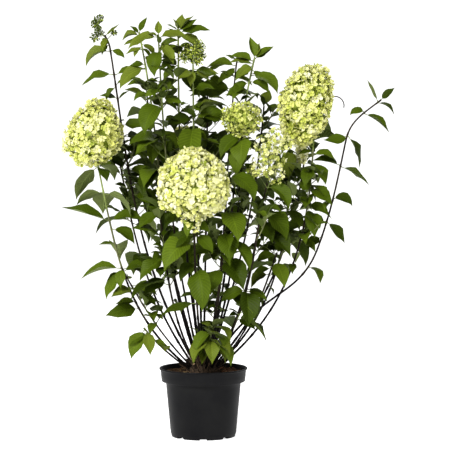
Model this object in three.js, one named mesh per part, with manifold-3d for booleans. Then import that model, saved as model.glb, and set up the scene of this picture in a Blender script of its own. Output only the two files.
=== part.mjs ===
// A panicle hydrangea growing in a round nursery pot.
//
// Millimetres, +Z up. The origin is the middle of the flat underside of the pot.
// +X is to the right and +Y goes away from the side with the large low bloom.
//
// The plant is a clump of canes from one woody stool. The bare lower part of each
// cane is one tapering limb. Where it enters its foliage it ends, and one mass
// carries on from there: a stem with opposite leaves in crossed pairs, side twigs
// that branch by a seeded rule, and the bloom or the tuft at its tip.

import * as THREE from 'three';
import { mergeVertices } from 'three/addons/utils/BufferGeometryUtils.js';
import Module from 'manifold-3d';

const wasm = await Module();
wasm.setup();

const UP = new THREE.Vector3(0, 0, 1);

// The clearance that pieces keep where they touch.
const GAP = 0.3;

// A five litre nursery pot with a deep collar and drain notches at its foot.
const POT = {
  height: 180,
  lipRadius: 115,
  lipDepth: 4,
  collarTopRadius: 112,
  collarFootRadius: 109,
  collarDepth: 35,
  bodyTopRadius: 98,
  bodyFootRadius: 86,
  baseRadius: 83,
  cornerHeight: 12,
  wall: 2.2,
  floor: 3,
  sides: 32,
  notches: 8,
  notchWidth: 20,
  notchHeight: 7,
  notchDepth: 20,
};

// The compost: level round the stool and lumpy out to the wall.
const SOIL = { top: 168, levelRadius: 56, lump: 4, slack: 0.5, seed: 5 };

// The woody stool at soil level that every cane rises from: part of a ball with its
// centre in the compost, with the sawn stubs of old canes between the new ones.
const STOOL = { radius: 50, centre: new THREE.Vector3(0, 0, 150), sides: 20, rings: 6 };
const STUB = { count: 8, length: [10, 24], radius: 4, sunk: 8, sides: 5, lean: [8, 56], apart: 10,
  tries: 900, seed: 31 };

// Canes are thickest at the stool and taper evenly to their tips. pull sets how far
// each end holds its lean, and the canes' starts keep apart by an angle in degrees.
const CANE = {
  footRadius: 3.9,
  shortFootRadius: 3.2,
  shortBelow: 560,
  tipRadius: 1.7,
  sides: 5,
  stemSides: 3,
  pull: 0.38,
  curveSteps: 40,
  step: 72,
  stemStep: 100,
  bentStemStep: 45,
  apart: 11.5,
  lowestStart: 57,
  spreadRounds: 400,
};

// Leaves, each given by its youngest and its grown state. A leaf lifts from its node by
// an angle above level and droops by another from there to its tip. Lengths are with the stalk.
const LEAF = {
  full: 122,
  youngest: 0.5,
  growOver: 130,
  lift: [62, 16],
  liftOver: 200,
  liftSpread: 14,
  droop: [40, 84],
  droopSpread: 16,
  roll: 38,
  turnSpread: 16,
  sizeSpread: [0.86, 1.1],
  width: 0.56,
  waist: 0.84,
  shares: { lower: 0.33, middle: 0.45, upper: 0.64 },
  thickness: 0.016,
  thinnest: 1.4,
  fold: 18,
  sunk: 0.6,
  rootGap: 1.6,
};

// Nodes: how far the first lies below a bare tip or a bloom, and how the gaps grow.
const NODE = { belowTip: 3, belowBloom: 16, bloomAge: 70, firstGap: 30, gapStep: 14, longestGap: 76,
  gapSpread: [0.85, 1.15], turnSpread: 14, aboveFoot: 12, seed: 1000 };

// One side twig leaves each stem in the axil of its third pair, with two pairs of its own.
const TWIG = {
  atNode: 2,
  length: 95,
  lengthSpread: [0.6, 1.1],
  lift: 50,
  liftSpread: 14,
  footRadius: 1.9,
  tipRadius: 1.3,
  sides: 3,
  leaf: 0.62,
  pairs: [{ share: 0.97, back: 20, turn: 0 }, { share: 0.55, back: 70, turn: 90 }],
};

// How far a leaf or twig keeps from the border of its own space, from limbs, blooms and
// the pot, how closely stems and limbs are sampled for that, and how much of its own
// cane on each side of its root a leaf may touch.
const CLEAR = { border: 2.5, limb: 2.2, bloom: 4, pot: 7, stemSamples: 12, limbSamples: 5, ownLimb: 26 };

// The ways a leaf that doesn't fit is shortened, raised or turned before it is skipped.
const FIT = { sizes: [1, 0.85, 0.7, 0.56], raises: [0, -22, 22], turns: [0, 18, -18, 36, -36],
  shortest: 34 };

// The blooms. half is half the height of a head, and tilt leans its stalk outwards from
// upright. slant leans the body of a full head, and full makes its foot fuller than its
// top. A head with lobes is an open one, and stalk is how far its centre is from the tip.
const BLOOMS = {
  left: { radius: 75, half: 88, tilt: 5, slant: -0.06, full: 0.2, seed: 1 },
  front: { radius: 91, half: 88, tilt: 2, slant: 0, full: 0.14, seed: 2 },
  middle: { radius: 52, half: 47, tilt: -6, slant: 0, full: -0.08, seed: 3 },
  right: { radius: 68, half: 107, stalk: 80, tilt: -15, slant: 0.1, full: -0.08, seed: 4 },
  back: { radius: 80, half: 84, tilt: 6, slant: 0, full: 0.1, seed: 5 },
  loose: { radius: 52, half: 72, tilt: 4, lobes: 6, lobe: 27, seed: 6 },
  spire: { radius: 24, half: 36, stalk: 27, tilt: 46, lobes: 5, lobe: 12, seed: 7 },
  top: { radius: 36, half: 34, tilt: 4, lobes: 6, lobe: 17, seed: 8 },
  sprig: { radius: 14, half: 16, stalk: 36, tilt: 125, lobes: 2, lobe: 11, seed: 9 },
};

// How lumpy a full head is, and how its girth shrinks towards its top.
const HEAD = { waves: 7, wave: 0.018, rates: [5, 9], base: 0.97, taper: 0.08, detail: 2, seed: 500 };

// The bare stalk left where a leaf has died: straight at first, then curled over.
const WITHERED = { straight: 0.55, radii: [1.3, 0.8], steps: 8, sides: 3 };

// The branched stalk inside an open head.
const STALK = { sunk: 4, radii: [1.8, 1.5, 1.2], sides: 3, goldenTurn: 137.5, turnSpread: 15 };

// Each cane: where its tip is (toward in degrees from +X, reach from the axis, rise
// above the ground), how far it leans from upright at its launch and at its finish,
// the share of it that is bare, and what it carries. An elbow is a point it bends at, and
// withered is a stalk that lost its leaf. Leaves that show singly are placed one by one, by
// [rise, toward, lift, droop, roll, length]. The rule grows the rest, from the tip or below
// a rise, unless only the placed ones are wanted.
const CANES = [
  { name: 'left_bloom', toward: 192, reach: 278, rise: 718, launch: 50, finish: 12, bare: 0.3,
    bloom: 'left', onlyPlaced: true, leaves: [
      [706, 165, -30, 50, 25, 108],
      [704, 300, 0, 70, 0, 66],
      [704, 60, 20, 90, 0, 96],
      [640, 165, 0, 50, 30, 84],
      [636, 350, 0, 80, -30, 100],
      [636, 95, 10, 90, 0, 110],
      [566, 180, 20, 8, -14, 130],
      [566, 355, 30, 60, 30, 96],
      [545, 352, 0, 66, 35, 76],
      [505, 180, 6, 12, -10, 44],
      [500, 85, 20, 90, 0, 104],
      [440, 0, 25, 80, 30, 88],
      [430, 190, -10, 40, -10, 56],
      [355, 180, 0, 12, -40, 56],
      [337, 186, 0, 22, -45, 92],
    ] },
  { name: 'left_spire', toward: 171, reach: 261, rise: 1046, launch: 28, finish: 34, bare: 0.4,
    elbows: [{ reach: 246, rise: 1012, lean: 9 }], bloom: 'spire', ruleBelow: 780, leaves: [
      [1043, 12, 44, 8, 10, 54],
      [1041, 236, -30, 40, -20, 38],
      [1006, 350, 2, 62, 40, 46],
      [1004, 185, 6, 76, -30, 82],
      [943, 178, 8, 54, -25, 94],
      [942, 0, 22, 24, 25, 88],
      [915, 352, 46, 12, 20, 44],
      [912, 200, -40, 30, -20, 48],
      [880, 180, 30, 40, -30, 50],
      [878, 0, 46, 16, 20, 40],
      [812, 358, 4, 20, 50, 76],
      [700, 330, 0, 60, 30, 92],
      [630, 320, 10, 60, 30, 98],
    ] },
  { name: 'top_left', toward: 180, reach: 166, rise: 1052, launch: 20, finish: 12, bare: 0.4,
    ruleBelow: 770, leaves: [
      [1050, 20, 68, 12, 25, 48],
      [1048, 172, 46, 12, -30, 34],
      [1044, 185, 18, 70, -25, 50],
      [1030, 178, 10, 50, -30, 48],
      [1012, 340, -30, 40, 20, 36],
      [1008, 182, -2, 30, -30, 46],
      [968, 172, 12, 30, -45, 42],
      [960, 190, -6, 66, -40, 92],
      [890, 200, 10, 60, -30, 50],
      [700, 235, -10, 70, -20, 104],
    ] },
  { name: 'top_left_front', toward: 212, reach: 134, rise: 1045, launch: 15, finish: 3, bare: 0.4,
    ruleBelow: 760, leaves: [
      [1042, 95, 82, 6, 0, 40],
      [1038, 182, 6, 56, -35, 88],
      [1036, 0, 22, 42, 30, 78],
      [1003, 250, -20, 90, 0, 82],
      [1000, 20, 60, 20, 10, 38],
      [985, 340, 10, 40, 25, 46],
      [925, 181, 3, 24, -8, 54],
      [884, 355, -4, 24, 40, 58],
      [882, 178, 0, 14, -8, 46],
      [864, 232, -5, 84, -15, 112],
    ] },
  { name: 'top_middle', toward: 163, reach: 68, rise: 1063, launch: 9, finish: 0, bare: 0.42,
    ruleBelow: 870, leaves: [
      [1057, 70, 60, 8, 0, 54],
      [1055, 5, 38, 10, 35, 60],
      [1052, 0, 12, 16, 35, 86],
      [1050, 190, 34, 20, 0, 34],
      [1046, 178, 12, 34, -12, 46],
      [1022, 195, -20, 50, -45, 58],
      [1018, 340, 0, 30, 40, 42],
      [968, 200, -20, 60, -25, 62],
      [948, 326, -10, 70, 45, 100],
      [906, 186, 10, 44, -35, 66],
    ] },
  { name: 'bud_top', toward: 230, reach: 40, rise: 968, launch: 6, finish: 0, bare: 0.4,
    bloom: 'top', ruleBelow: 740, leaves: [
      [957, 0, 14, 16, 30, 68],
      [955, 250, -45, 50, 0, 48],
      [944, 342, -6, 34, 8, 54],
      [846, 4, 40, 62, 5, 96],
      [836, 355, 14, 56, 45, 112],
      [830, 186, 4, 40, -45, 74],
      [812, 262, -28, 60, 0, 144],
      [806, 335, -36, 40, 20, 64],
      [770, 352, 8, 30, 5, 72],
    ] },
  { name: 'top_back', toward: 85, reach: 120, rise: 952, launch: 13, finish: 3, bare: 0.42,
    ruleBelow: 870, leaves: [
      [950, 5, 36, 24, 25, 50],
      [948, 180, 10, 40, -30, 44],
      [918, 185, 22, 30, -40, 48],
      [916, 2, 14, 44, 35, 48],
    ] },
  { name: 'top_right', toward: 344, reach: 138, rise: 985, launch: 15, finish: 14, bare: 0.4,
    ruleBelow: 830, leaves: [
      [983, 118, 70, 8, 0, 64],
      [981, 8, 42, 16, 35, 62],
      [976, 178, 28, 32, -30, 66],
      [962, 196, -12, 50, -45, 60],
      [940, 352, 10, 84, 25, 98],
      [945, 20, 0, 40, 25, 40],
      [925, 350, -6, 50, 40, 64],
      [922, 190, -10, 34, -50, 58],
      [856, 10, 58, 20, 0, 52],
    ] },
  { name: 'top_right_back', toward: 34, reach: 106, rise: 983, launch: 13, finish: 8, bare: 0.46,
    ruleBelow: 800, leaves: [
      [980, 170, 38, 24, -20, 36],
      [966, 180, 15, 36, -28, 80],
      [962, 200, -20, 60, -30, 42],
      [905, 182, 10, 38, -50, 120],
      [903, 0, 10, 60, 30, 52],
    ] },
  { name: 'middle_bloom', toward: 319, reach: 136, rise: 790, launch: 22, finish: 4, bare: 0.46,
    bloom: 'middle', ruleBelow: 640, leaves: [
      [786, 200, -8, 72, -45, 90],
      [782, 300, -18, 70, 20, 100],
      [780, 262, -38, 66, 0, 108],
      [722, 330, -20, 50, 40, 106],
      [684, 318, -8, 44, 25, 66],
    ] },
  { name: 'right_bloom', toward: 354, reach: 287, rise: 784, launch: 51, finish: 2, bare: 0.46,
    bloom: 'right', ruleBelow: 430, leaves: [
      [744, 178, 20, 20, -30, 46],
      [738, 2, 10, 52, 30, 66],
      [716, 330, -30, 50, 20, 72],
      [704, 246, -10, 72, -20, 74],
      [660, 352, -42, 24, 0, 106],
      [650, 350, -30, 40, 20, 108],
      [604, 352, 4, 56, 40, 64],
      [600, 300, -40, 50, 0, 88],
      [552, 200, 0, 60, -30, 80],
      [510, 320, 10, 70, 30, 60],
      [452, 250, -12, 80, -10, 88],
      [448, 100, 10, 80, 0, 84],
    ] },
  { name: 'loose_bloom', toward: 326, reach: 199, rise: 671, launch: 37, finish: 15, bare: 0.36,
    bloom: 'loose', ruleBelow: 540, leaves: [
      [655, 330, 8, 98, 30, 96],
      [590, 335, -10, 70, 25, 106],
      [566, 300, -12, 50, 20, 86],
    ] },
  { name: 'front_bloom', toward: 264, reach: 201, rise: 592, launch: 36, finish: 4, bare: 0.4,
    bloom: 'front', onlyPlaced: true, leaves: [
      [585, 235, -30, 60, -10, 62],
      [572, 340, -10, 50, 30, 52],
      [538, 345, -18, 50, 45, 68],
      [540, 200, 0, 60, -40, 94],
      [520, 216, 4, 80, -35, 124],
      [470, 220, -10, 70, -20, 72],
      [455, 290, -20, 90, 40, 130],
      [385, 178, 0, 20, -20, 46],
      [362, 184, -2, 36, -14, 108],
    ] },
  { name: 'right_whip', toward: 357, reach: 460, rise: 878, launch: 30, finish: 52, bare: 0.42,
    onlyPlaced: true, leaves: [
      [872, 182, 68, 8, 10, 66],
      [877, 5, 46, 10, 50, 50],
      [870, 350, 0, 70, 10, 58],
      [845, 188, 44, 110, -45, 46],
      [843, 355, -22, 30, 15, 84],
      [788, 182, -38, -56, -50, 74],
      [786, 350, -50, 40, 10, 92],
      [708, 178, 24, 28, -25, 76],
      [706, 355, -20, 26, 15, 90],
      [620, 350, 34, 105, 40, 62],
      [616, 236, 10, 80, 0, 50],
      [562, 345, -34, 30, 25, 74],
      [560, 170, 24, 50, -40, 60],
      [522, 205, -10, 50, -50, 54],
      [425, 330, 10, 120, 10, 66],
    ],
    elbows: [{ reach: 204, rise: 378, lean: 55 }, { reach: 298, rise: 495, lean: 20 },
      { reach: 370, rise: 775, lean: 12 }] },
  { name: 'right_inner', toward: 11, reach: 230, rise: 752, launch: 48, finish: 0, bare: 0.42,
    bloom: 'sprig', ruleBelow: 470, leaves: [
      [750, 262, -40, 60, 0, 88],
      [700, 340, -20, 50, 20, 60],
      [668, 195, 0, 70, -35, 74],
      [640, 350, -10, 60, 30, 84],
      [590, 300, -10, 60, 0, 84],
      [560, 10, 0, 60, 30, 84],
      [486, 184, 12, 30, -35, 68],
    ] },
  { name: 'left_low', toward: 201, reach: 225, rise: 449, launch: 47, finish: 30, bare: 0.3,
    onlyPlaced: true, leaves: [
      [446, 188, 8, 44, -10, 112],
      [446, 262, -30, 80, 0, 58],
      [438, 20, 30, 50, 20, 62],
      [434, 192, -35, 40, -30, 86],
      [400, 350, 10, 60, 30, 74],
      [350, 30, 30, 60, 20, 60],
      [300, 250, 10, 80, 0, 56],
    ] },
  { name: 'low_front', toward: 282, reach: 112, rise: 300, launch: 46, finish: 30, bare: 0.2,
    leaves: [
      [296, 330, 20, 110, 0, 76],
      [266, 345, 0, 95, 0, 104],
      [262, 214, 10, 95, 0, 100],
    ] },
  { name: 'right_low', toward: 342, reach: 200, rise: 485, launch: 46, finish: 20, bare: 0.42,
    onlyPlaced: true, leaves: [
      [483, 60, 40, 40, 20, 62],
      [480, 200, 10, 60, -30, 60],
      [462, 300, -20, 60, 10, 88],
      [430, 200, -10, 50, -30, 64],
      [425, 20, 20, 60, 20, 60],
    ] },
  { name: 'left_foot', toward: 207, reach: 171, rise: 292, launch: 54, finish: 42, bare: 0.3,
    leaves: [
      [289, 192, -50, 30, -65, 86],
      [286, 300, -55, 30, 10, 68],
    ] },
  { name: 'front_leafy', toward: 290, reach: 181, rise: 685, launch: 30, finish: 6, bare: 0.32,
    ruleBelow: 390, leaves: [
      [682, 316, 14, 104, 25, 130],
      [598, 275, 0, 85, 0, 122],
      [548, 285, -25, 60, 0, 98],
      [520, 320, 0, 80, 0, 122],
      [500, 186, 8, 44, -45, 92],
      [470, 330, -10, 60, 30, 112],
      [450, 240, -20, 60, -10, 88],
    ] },
  { name: 'right_front', toward: 309, reach: 233, rise: 600, launch: 45, finish: 12, bare: 0.32,
    leaves: [
      [395, 190, 0, 50, -40, 74],
      [392, 355, 0, 50, 35, 64],
      [345, 0, 10, 30, 40, 50],
    ] },
  { name: 'front_left', toward: 232, reach: 178, rise: 600, launch: 38, finish: 10, bare: 0.36,
    leaves: [
      [585, 205, 0, 60, -35, 70],
      [470, 205, -5, 60, -35, 92],
      [420, 200, 0, 60, -35, 82],
    ] },
  { name: 'back_bloom', toward: 100, reach: 262, rise: 640, launch: 45, finish: 6, bare: 0.42,
    bloom: 'back' },
  { name: 'back_left', toward: 128, reach: 250, rise: 900, launch: 28, finish: 8, bare: 0.4 },
  { name: 'back_right', toward: 52, reach: 262, rise: 860, launch: 30, finish: 8, bare: 0.4 },
  { name: 'back_far_left', toward: 141, reach: 300, rise: 745, launch: 45, finish: 14, bare: 0.42 },
  { name: 'back_far_right', toward: 29, reach: 320, rise: 884, launch: 46, finish: 2, bare: 0.46,
    ruleBelow: 780, withered: { rise: 860, toward: 350, lift: 22, curl: 125, length: 120 }, leaves: [
      [882, 350, 56, 10, 0, 92],
      [880, 130, 84, 6, 0, 96],
      [838, 350, 0, 40, 20, 66],
    ] },
  { name: 'back_low', toward: 75, reach: 205, rise: 470, launch: 50, finish: 22, bare: 0.35 },
];

const rad = THREE.MathUtils.degToRad;
const deg = THREE.MathUtils.radToDeg;
const { lerp } = THREE.MathUtils;

// A repeatable random source: each call gives the next number between 0 and 1.
function seeded(seed) {
  let state = seed >>> 0;
  return () => {
    state = (state + 0x6d2b79f5) >>> 0;
    let mixed = Math.imul(state ^ (state >>> 15), 1 | state);
    mixed = (mixed + Math.imul(mixed ^ (mixed >>> 7), 61 | mixed)) ^ mixed;
    return ((mixed ^ (mixed >>> 14)) >>> 0) / 4294967296;
  };
}

const between = (random, low, high) => low + (high - low) * random();
const spread = (random, size) => between(random, -size, size);

function smooth(x) {
  const t = Math.min(Math.max(x, 0), 1);
  return t * t * (3 - 2 * t);
}

// A unit vector that leans from upright towards a compass angle, both in degrees.
function leaning(lean, toward) {
  const out = Math.sin(rad(lean));
  return new THREE.Vector3(out * Math.cos(rad(toward)), out * Math.sin(rad(toward)), Math.cos(rad(lean)));
}

// A point at a compass angle, a reach from the axis and a height.
function placed(toward, reach, rise) {
  return new THREE.Vector3(reach * Math.cos(rad(toward)), reach * Math.sin(rad(toward)), rise);
}

// Solids, as closed bodies that can be joined and cut.

function solidOf(points, faces) {
  return new wasm.Manifold(new wasm.Mesh({
    numProp: 3,
    vertProperties: new Float32Array(points.flatMap((p) => [p.x, p.y, p.z])),
    triVerts: new Uint32Array(faces.flat()),
  }));
}

function solidOfGeometry(geometry) {
  const bare = new THREE.BufferGeometry();
  bare.setAttribute('position', geometry.getAttribute('position'));
  if (geometry.index) bare.setIndex(geometry.index);
  const merged = mergeVertices(bare);
  return new wasm.Manifold(new wasm.Mesh({
    numProp: 3,
    vertProperties: new Float32Array(merged.getAttribute('position').array),
    triVerts: new Uint32Array(merged.index.array),
  }));
}

// The largest body of a solid, without loose scraps and with sealed hollows filled.
function largestBody(solid) {
  return solid.decompose().reduce((best, body) => (body.volume() > best.volume() ? body : best));
}

function geometryOf(solid) {
  const mesh = solid.getMesh();
  const geometry = new THREE.BufferGeometry();
  geometry.setAttribute('position', new THREE.BufferAttribute(new Float32Array(mesh.vertProperties), 3));
  geometry.setIndex(Array.from(mesh.triVerts));
  geometry.computeVertexNormals();
  return geometry;
}

// A tapering rod with flat ends through the given points, with one radius for each.
// Its end faces are square to the directions given for them, or to its end runs.
function rodSolid(points, radii, sides, firstAlong, lastAlong) {
  const rings = [];
  const last = points.length - 1;
  let side = null;
  points.forEach((point, i) => {
    const run = points[Math.min(i + 1, last)].clone().sub(points[Math.max(i - 1, 0)]).normalize();
    const along = (i === 0 && firstAlong) || (i === last && lastAlong) || run;
    if (!side) {
      const reference = Math.abs(along.z) > 0.9 ? new THREE.Vector3(1, 0, 0) : UP;
      side = new THREE.Vector3().crossVectors(reference, along);
    }
    side.addScaledVector(along, -side.dot(along)).normalize();
    const other = new THREE.Vector3().crossVectors(along, side);
    for (let k = 0; k < sides; k += 1) {
      const turn = (2 * Math.PI * k) / sides;
      rings.push(point.clone()
        .addScaledVector(side, radii[i] * Math.cos(turn))
        .addScaledVector(other, radii[i] * Math.sin(turn)));
    }
  });
  const faces = [];
  for (let a = 0; a < last * sides; a += 1) {
    const b = a - (a % sides) + ((a + 1) % sides);
    faces.push([a, b, b + sides], [a, b + sides, a + sides]);
  }
  for (let k = 1; k + 1 < sides; k += 1) {
    faces.push([0, k + 1, k], [last * sides, last * sides + k, last * sides + k + 1]);
  }
  return solidOf(rings, faces);
}

// A body made of a bottom point, rings of equal count from the bottom up and a top point.
function ringedSolid(bottom, rings, top) {
  const sides = rings[0].length;
  const count = 2 + sides * rings.length;
  const lastRing = count - 1 - sides;
  const faces = [];
  for (let k = 0; k < sides; k += 1) {
    const next = (k + 1) % sides;
    faces.push([0, 1 + next, 1 + k], [count - 1, lastRing + k, lastRing + next]);
    for (let first = 1; first < lastRing; first += sides) {
      const [a, b] = [first + k, first + next];
      faces.push([a, b, b + sides], [a, b + sides, a + sides]);
    }
  }
  return solidOf([bottom, ...rings.flat(), top], faces);
}

// The pot: a thin tapering wall with a stepped collar, a lip and a flat floor.

const COLLAR_FOOT = POT.height - POT.collarDepth;
const LIP_FOOT = POT.height - POT.lipDepth;

function potSolid() {
  const { wall } = POT;
  const outside = [
    [0, 0],
    [POT.baseRadius, 0],
    [POT.bodyFootRadius, POT.cornerHeight],
    [POT.bodyTopRadius, COLLAR_FOOT],
    [POT.collarFootRadius, COLLAR_FOOT],
    [POT.collarTopRadius, LIP_FOOT - 1],
    [POT.lipRadius, LIP_FOOT],
    [POT.lipRadius, POT.height],
  ];
  const inside = [
    [POT.collarTopRadius - wall, POT.height],
    [POT.collarFootRadius - wall, COLLAR_FOOT + wall],
    [POT.bodyTopRadius - wall, COLLAR_FOOT + wall],
    [POT.bodyFootRadius - wall, POT.cornerHeight],
    [POT.baseRadius - wall, POT.floor],
    [0, POT.floor],
  ];
  const profile = [...outside, ...inside].map(([radius, height]) => new THREE.Vector2(radius, height));
  const wallGeometry = new THREE.LatheGeometry(profile, POT.sides);
  wallGeometry.rotateX(Math.PI / 2);
  let pot = solidOfGeometry(wallGeometry);
  for (let i = 0; i < POT.notches; i += 1) {
    const notch = new THREE.BoxGeometry(POT.notchDepth, POT.notchWidth, 2 * POT.notchHeight);
    notch.translate(POT.baseRadius, 0, 0);
    notch.rotateZ(-Math.PI / 2 + (2 * Math.PI * i) / POT.notches);
    pot = pot.subtract(solidOfGeometry(notch));
  }
  return pot;
}

// The compost, with its top in lumps between the wall and the level middle.

function soilSolid() {
  const random = seeded(SOIL.seed);
  const slack = POT.wall + SOIL.slack;
  const shoulder = SOIL.top - SOIL.lump;
  const edge = lerp(POT.collarFootRadius, POT.collarTopRadius, (shoulder - COLLAR_FOOT) / POT.collarDepth);
  const ring = (radius, height, lump) => Array.from({ length: POT.sides }, (_, k) => (
    placed((360 * k) / POT.sides, radius, height + spread(random, lump))));
  return ringedSolid(new THREE.Vector3(0, 0, POT.floor + GAP), [
    ring(POT.baseRadius - slack, POT.floor + GAP, 0),
    ring(POT.bodyFootRadius - slack, POT.cornerHeight + GAP, 0),
    ring(POT.bodyTopRadius - slack, COLLAR_FOOT + POT.wall + GAP, 0),
    ring(POT.collarFootRadius - slack, COLLAR_FOOT + POT.wall + GAP, 0),
    ring(edge - slack, shoulder, SOIL.lump),
    ring(lerp(edge - slack, SOIL.levelRadius, 0.33), SOIL.top, SOIL.lump),
    ring(lerp(edge - slack, SOIL.levelRadius, 0.67), SOIL.top, SOIL.lump),
    ring(SOIL.levelRadius, SOIL.top, 0),
  ], new THREE.Vector3(0, 0, SOIL.top));
}

// Paths. Each cane is one smooth curve, or several that share the lean at its elbows.

function curveThrough(from, fromAlong, to, toAlong) {
  const pull = CANE.pull * from.distanceTo(to);
  return new THREE.CubicBezierCurve3(
    from,
    from.clone().addScaledVector(fromAlong, pull),
    to.clone().addScaledVector(toAlong, -pull),
    to,
  );
}

function canePath(cane) {
  const points = [STOOL.centre.clone().addScaledVector(cane.start, STOOL.radius + GAP)];
  let along = cane.start;
  const tip = { reach: cane.reach, rise: cane.rise, lean: cane.finish };
  for (const bend of [...(cane.elbows ?? []), tip]) {
    const to = placed(cane.toward, bend.reach, bend.rise);
    const toAlong = leaning(bend.lean, cane.toward);
    const curve = curveThrough(points[points.length - 1], along, to, toAlong);
    points.push(...curve.getPoints(CANE.curveSteps).slice(1));
    along = toAlong;
  }
  return measured(points);
}

// A line of points with the distance along it to each.
function measured(points) {
  const lengths = [0];
  for (let i = 1; i < points.length; i += 1) {
    lengths.push(lengths[i - 1] + points[i].distanceTo(points[i - 1]));
  }
  return { points, lengths, total: lengths[lengths.length - 1] };
}

function pointAlong(path, distance) {
  const wanted = Math.min(Math.max(distance, 0), path.total);
  let i = 1;
  while (i < path.lengths.length - 1 && path.lengths[i] < wanted) i += 1;
  const share = (wanted - path.lengths[i - 1]) / (path.lengths[i] - path.lengths[i - 1]);
  return path.points[i - 1].clone().lerp(path.points[i], share);
}

function directionAlong(path, distance) {
  return pointAlong(path, distance + 2).sub(pointAlong(path, distance - 2)).normalize();
}

// The distance along a path where it first comes to a height.
function distanceAtHeight(path, height) {
  const i = Math.max(path.points.findIndex((point) => point.z >= height), 1);
  const [low, high] = [path.points[i - 1].z, path.points[i].z];
  return lerp(path.lengths[i - 1], path.lengths[i], (height - low) / (high - low));
}

function stationsAlong(from, to, spacing) {
  const steps = Math.max(Math.round((to - from) / spacing), 1);
  return Array.from({ length: steps + 1 }, (_, i) => lerp(from, to, i / steps));
}

// Where the canes leave the stool: each starts towards its tip, then close starts
// push one another apart until every pair has room.
function spreadStarts(canes) {
  const starts = canes.map((cane) => leaning(Math.min(cane.launch, CANE.lowestStart), cane.toward));
  for (let round = 0; round < CANE.spreadRounds; round += 1) {
    for (let i = 0; i < starts.length; i += 1) {
      for (let k = i + 1; k < starts.length; k += 1) {
        const lacking = CANE.apart - deg(starts[i].angleTo(starts[k]));
        if (lacking > 0) {
          const push = starts[i].clone().sub(starts[k]).normalize().multiplyScalar(rad(lacking) * 0.3);
          starts[i].add(push).normalize();
          starts[k].sub(push).normalize();
        }
      }
      const { x, y } = starts[i];
      if (starts[i].angleTo(UP) > rad(CANE.lowestStart)) {
        starts[i].copy(leaning(CANE.lowestStart, deg(Math.atan2(y, x))));
      }
    }
  }
  return starts;
}

function caneRadius(cane, at) {
  return lerp(cane.footRadius, CANE.tipRadius, at / cane.path.total);
}

// The stool, and the bare limb of each cane.

function stoolSolid(starts) {
  const random = seeded(STUB.seed);
  const bottom = new THREE.Vector3(0, 0, SOIL.top + GAP);
  const widest = deg(Math.acos((bottom.z - STOOL.centre.z) / STOOL.radius));
  const rings = Array.from({ length: STOOL.rings }, (_, ring) => (
    Array.from({ length: STOOL.sides }, (_unused, k) => STOOL.centre.clone().addScaledVector(
      leaning(widest * (1 - ring / STOOL.rings), (360 * k) / STOOL.sides), STOOL.radius))));
  const dome = ringedSolid(bottom, rings, STOOL.centre.clone().addScaledVector(UP, STOOL.radius));
  const stubs = [];
  const taken = [...starts];
  for (let i = 0; i < STUB.tries && stubs.length < STUB.count; i += 1) {
    const start = leaning(between(random, ...STUB.lean), between(random, 0, 360));
    if (taken.every((other) => deg(start.angleTo(other)) > STUB.apart)) {
      taken.push(start);
      const foot = STOOL.centre.clone().addScaledVector(start, STOOL.radius - STUB.sunk);
      const length = STUB.sunk + between(random, ...STUB.length);
      const end = foot.clone().addScaledVector(start, length);
      stubs.push(rodSolid([foot, end], [STUB.radius, STUB.radius], STUB.sides));
    }
  }
  return largestBody(wasm.Manifold.union([dome, ...stubs]));
}

function caneSolid(cane) {
  const stations = stationsAlong(0, cane.leafFrom, CANE.step);
  return rodSolid(
    stations.map((at) => pointAlong(cane.path, at)),
    stations.map((at) => caneRadius(cane, at)),
    CANE.sides,
    cane.start,
    directionAlong(cane.path, cane.leafFrom),
  );
}

// Leaves. The midrib is an arc that starts at its lift above level and droops evenly.
// The blade is folded up a little on each side of it and may roll about it.

function leafPoints(leaf) {
  const flat = leaning(90, leaf.toward);
  const across = new THREE.Vector3(-flat.y, flat.x, 0);
  const [lift, droop, roll, fold] = [leaf.lift, leaf.droop, leaf.roll, LEAF.fold].map(rad);
  const rib = (share) => {
    const now = lift - droop * share;
    return leaf.root.clone()
      .addScaledVector(flat, (leaf.length * (Math.sin(lift) - Math.sin(now))) / droop)
      .addScaledVector(UP, (leaf.length * (Math.cos(now) - Math.cos(lift))) / droop);
  };
  const axes = (share) => {
    const now = lift - droop * share;
    const face = flat.clone().multiplyScalar(-Math.sin(now)).addScaledVector(UP, Math.cos(now));
    return {
      side: across.clone().multiplyScalar(Math.cos(roll)).addScaledVector(face, Math.sin(roll)),
      face: face.clone().multiplyScalar(Math.cos(roll)).addScaledVector(across, -Math.sin(roll)),
    };
  };
  const edge = (share, halfWidth, hand) => {
    const { side, face } = axes(share);
    return rib(share)
      .addScaledVector(side, hand * halfWidth * Math.cos(fold))
      .addScaledVector(face, halfWidth * Math.sin(fold));
  };
  const half = (leaf.length * LEAF.width) / 2;
  const { lower, middle, upper } = LEAF.shares;
  return {
    rib,
    face: axes(middle).face,
    middle: rib(middle),
    rim: [edge(lower, half, 1), edge(upper, half * LEAF.waist, 1), rib(1),
      edge(upper, half * LEAF.waist, -1), edge(lower, half, -1)],
  };
}

// The leaves that are placed one by one on a cane, rooted on a line of points.
function placedLeaves(cane, line) {
  return (cane.leaves ?? []).map(([rise, toward, lift, droop, roll, length]) => ({
    root: pointAlong(line, distanceAtHeight(line, rise)), rise, toward, lift, droop, roll, length }));
}

// The points that stand for all of a leaf.
function spanOf(leaf) {
  const { rib, middle, rim } = leafPoints(leaf);
  const halfway = rim.slice(1).map((point, i) => point.clone().lerp(rim[i], 0.5));
  return [middle, rib(0.3), rib(0.75), ...rim, ...halfway];
}

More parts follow.
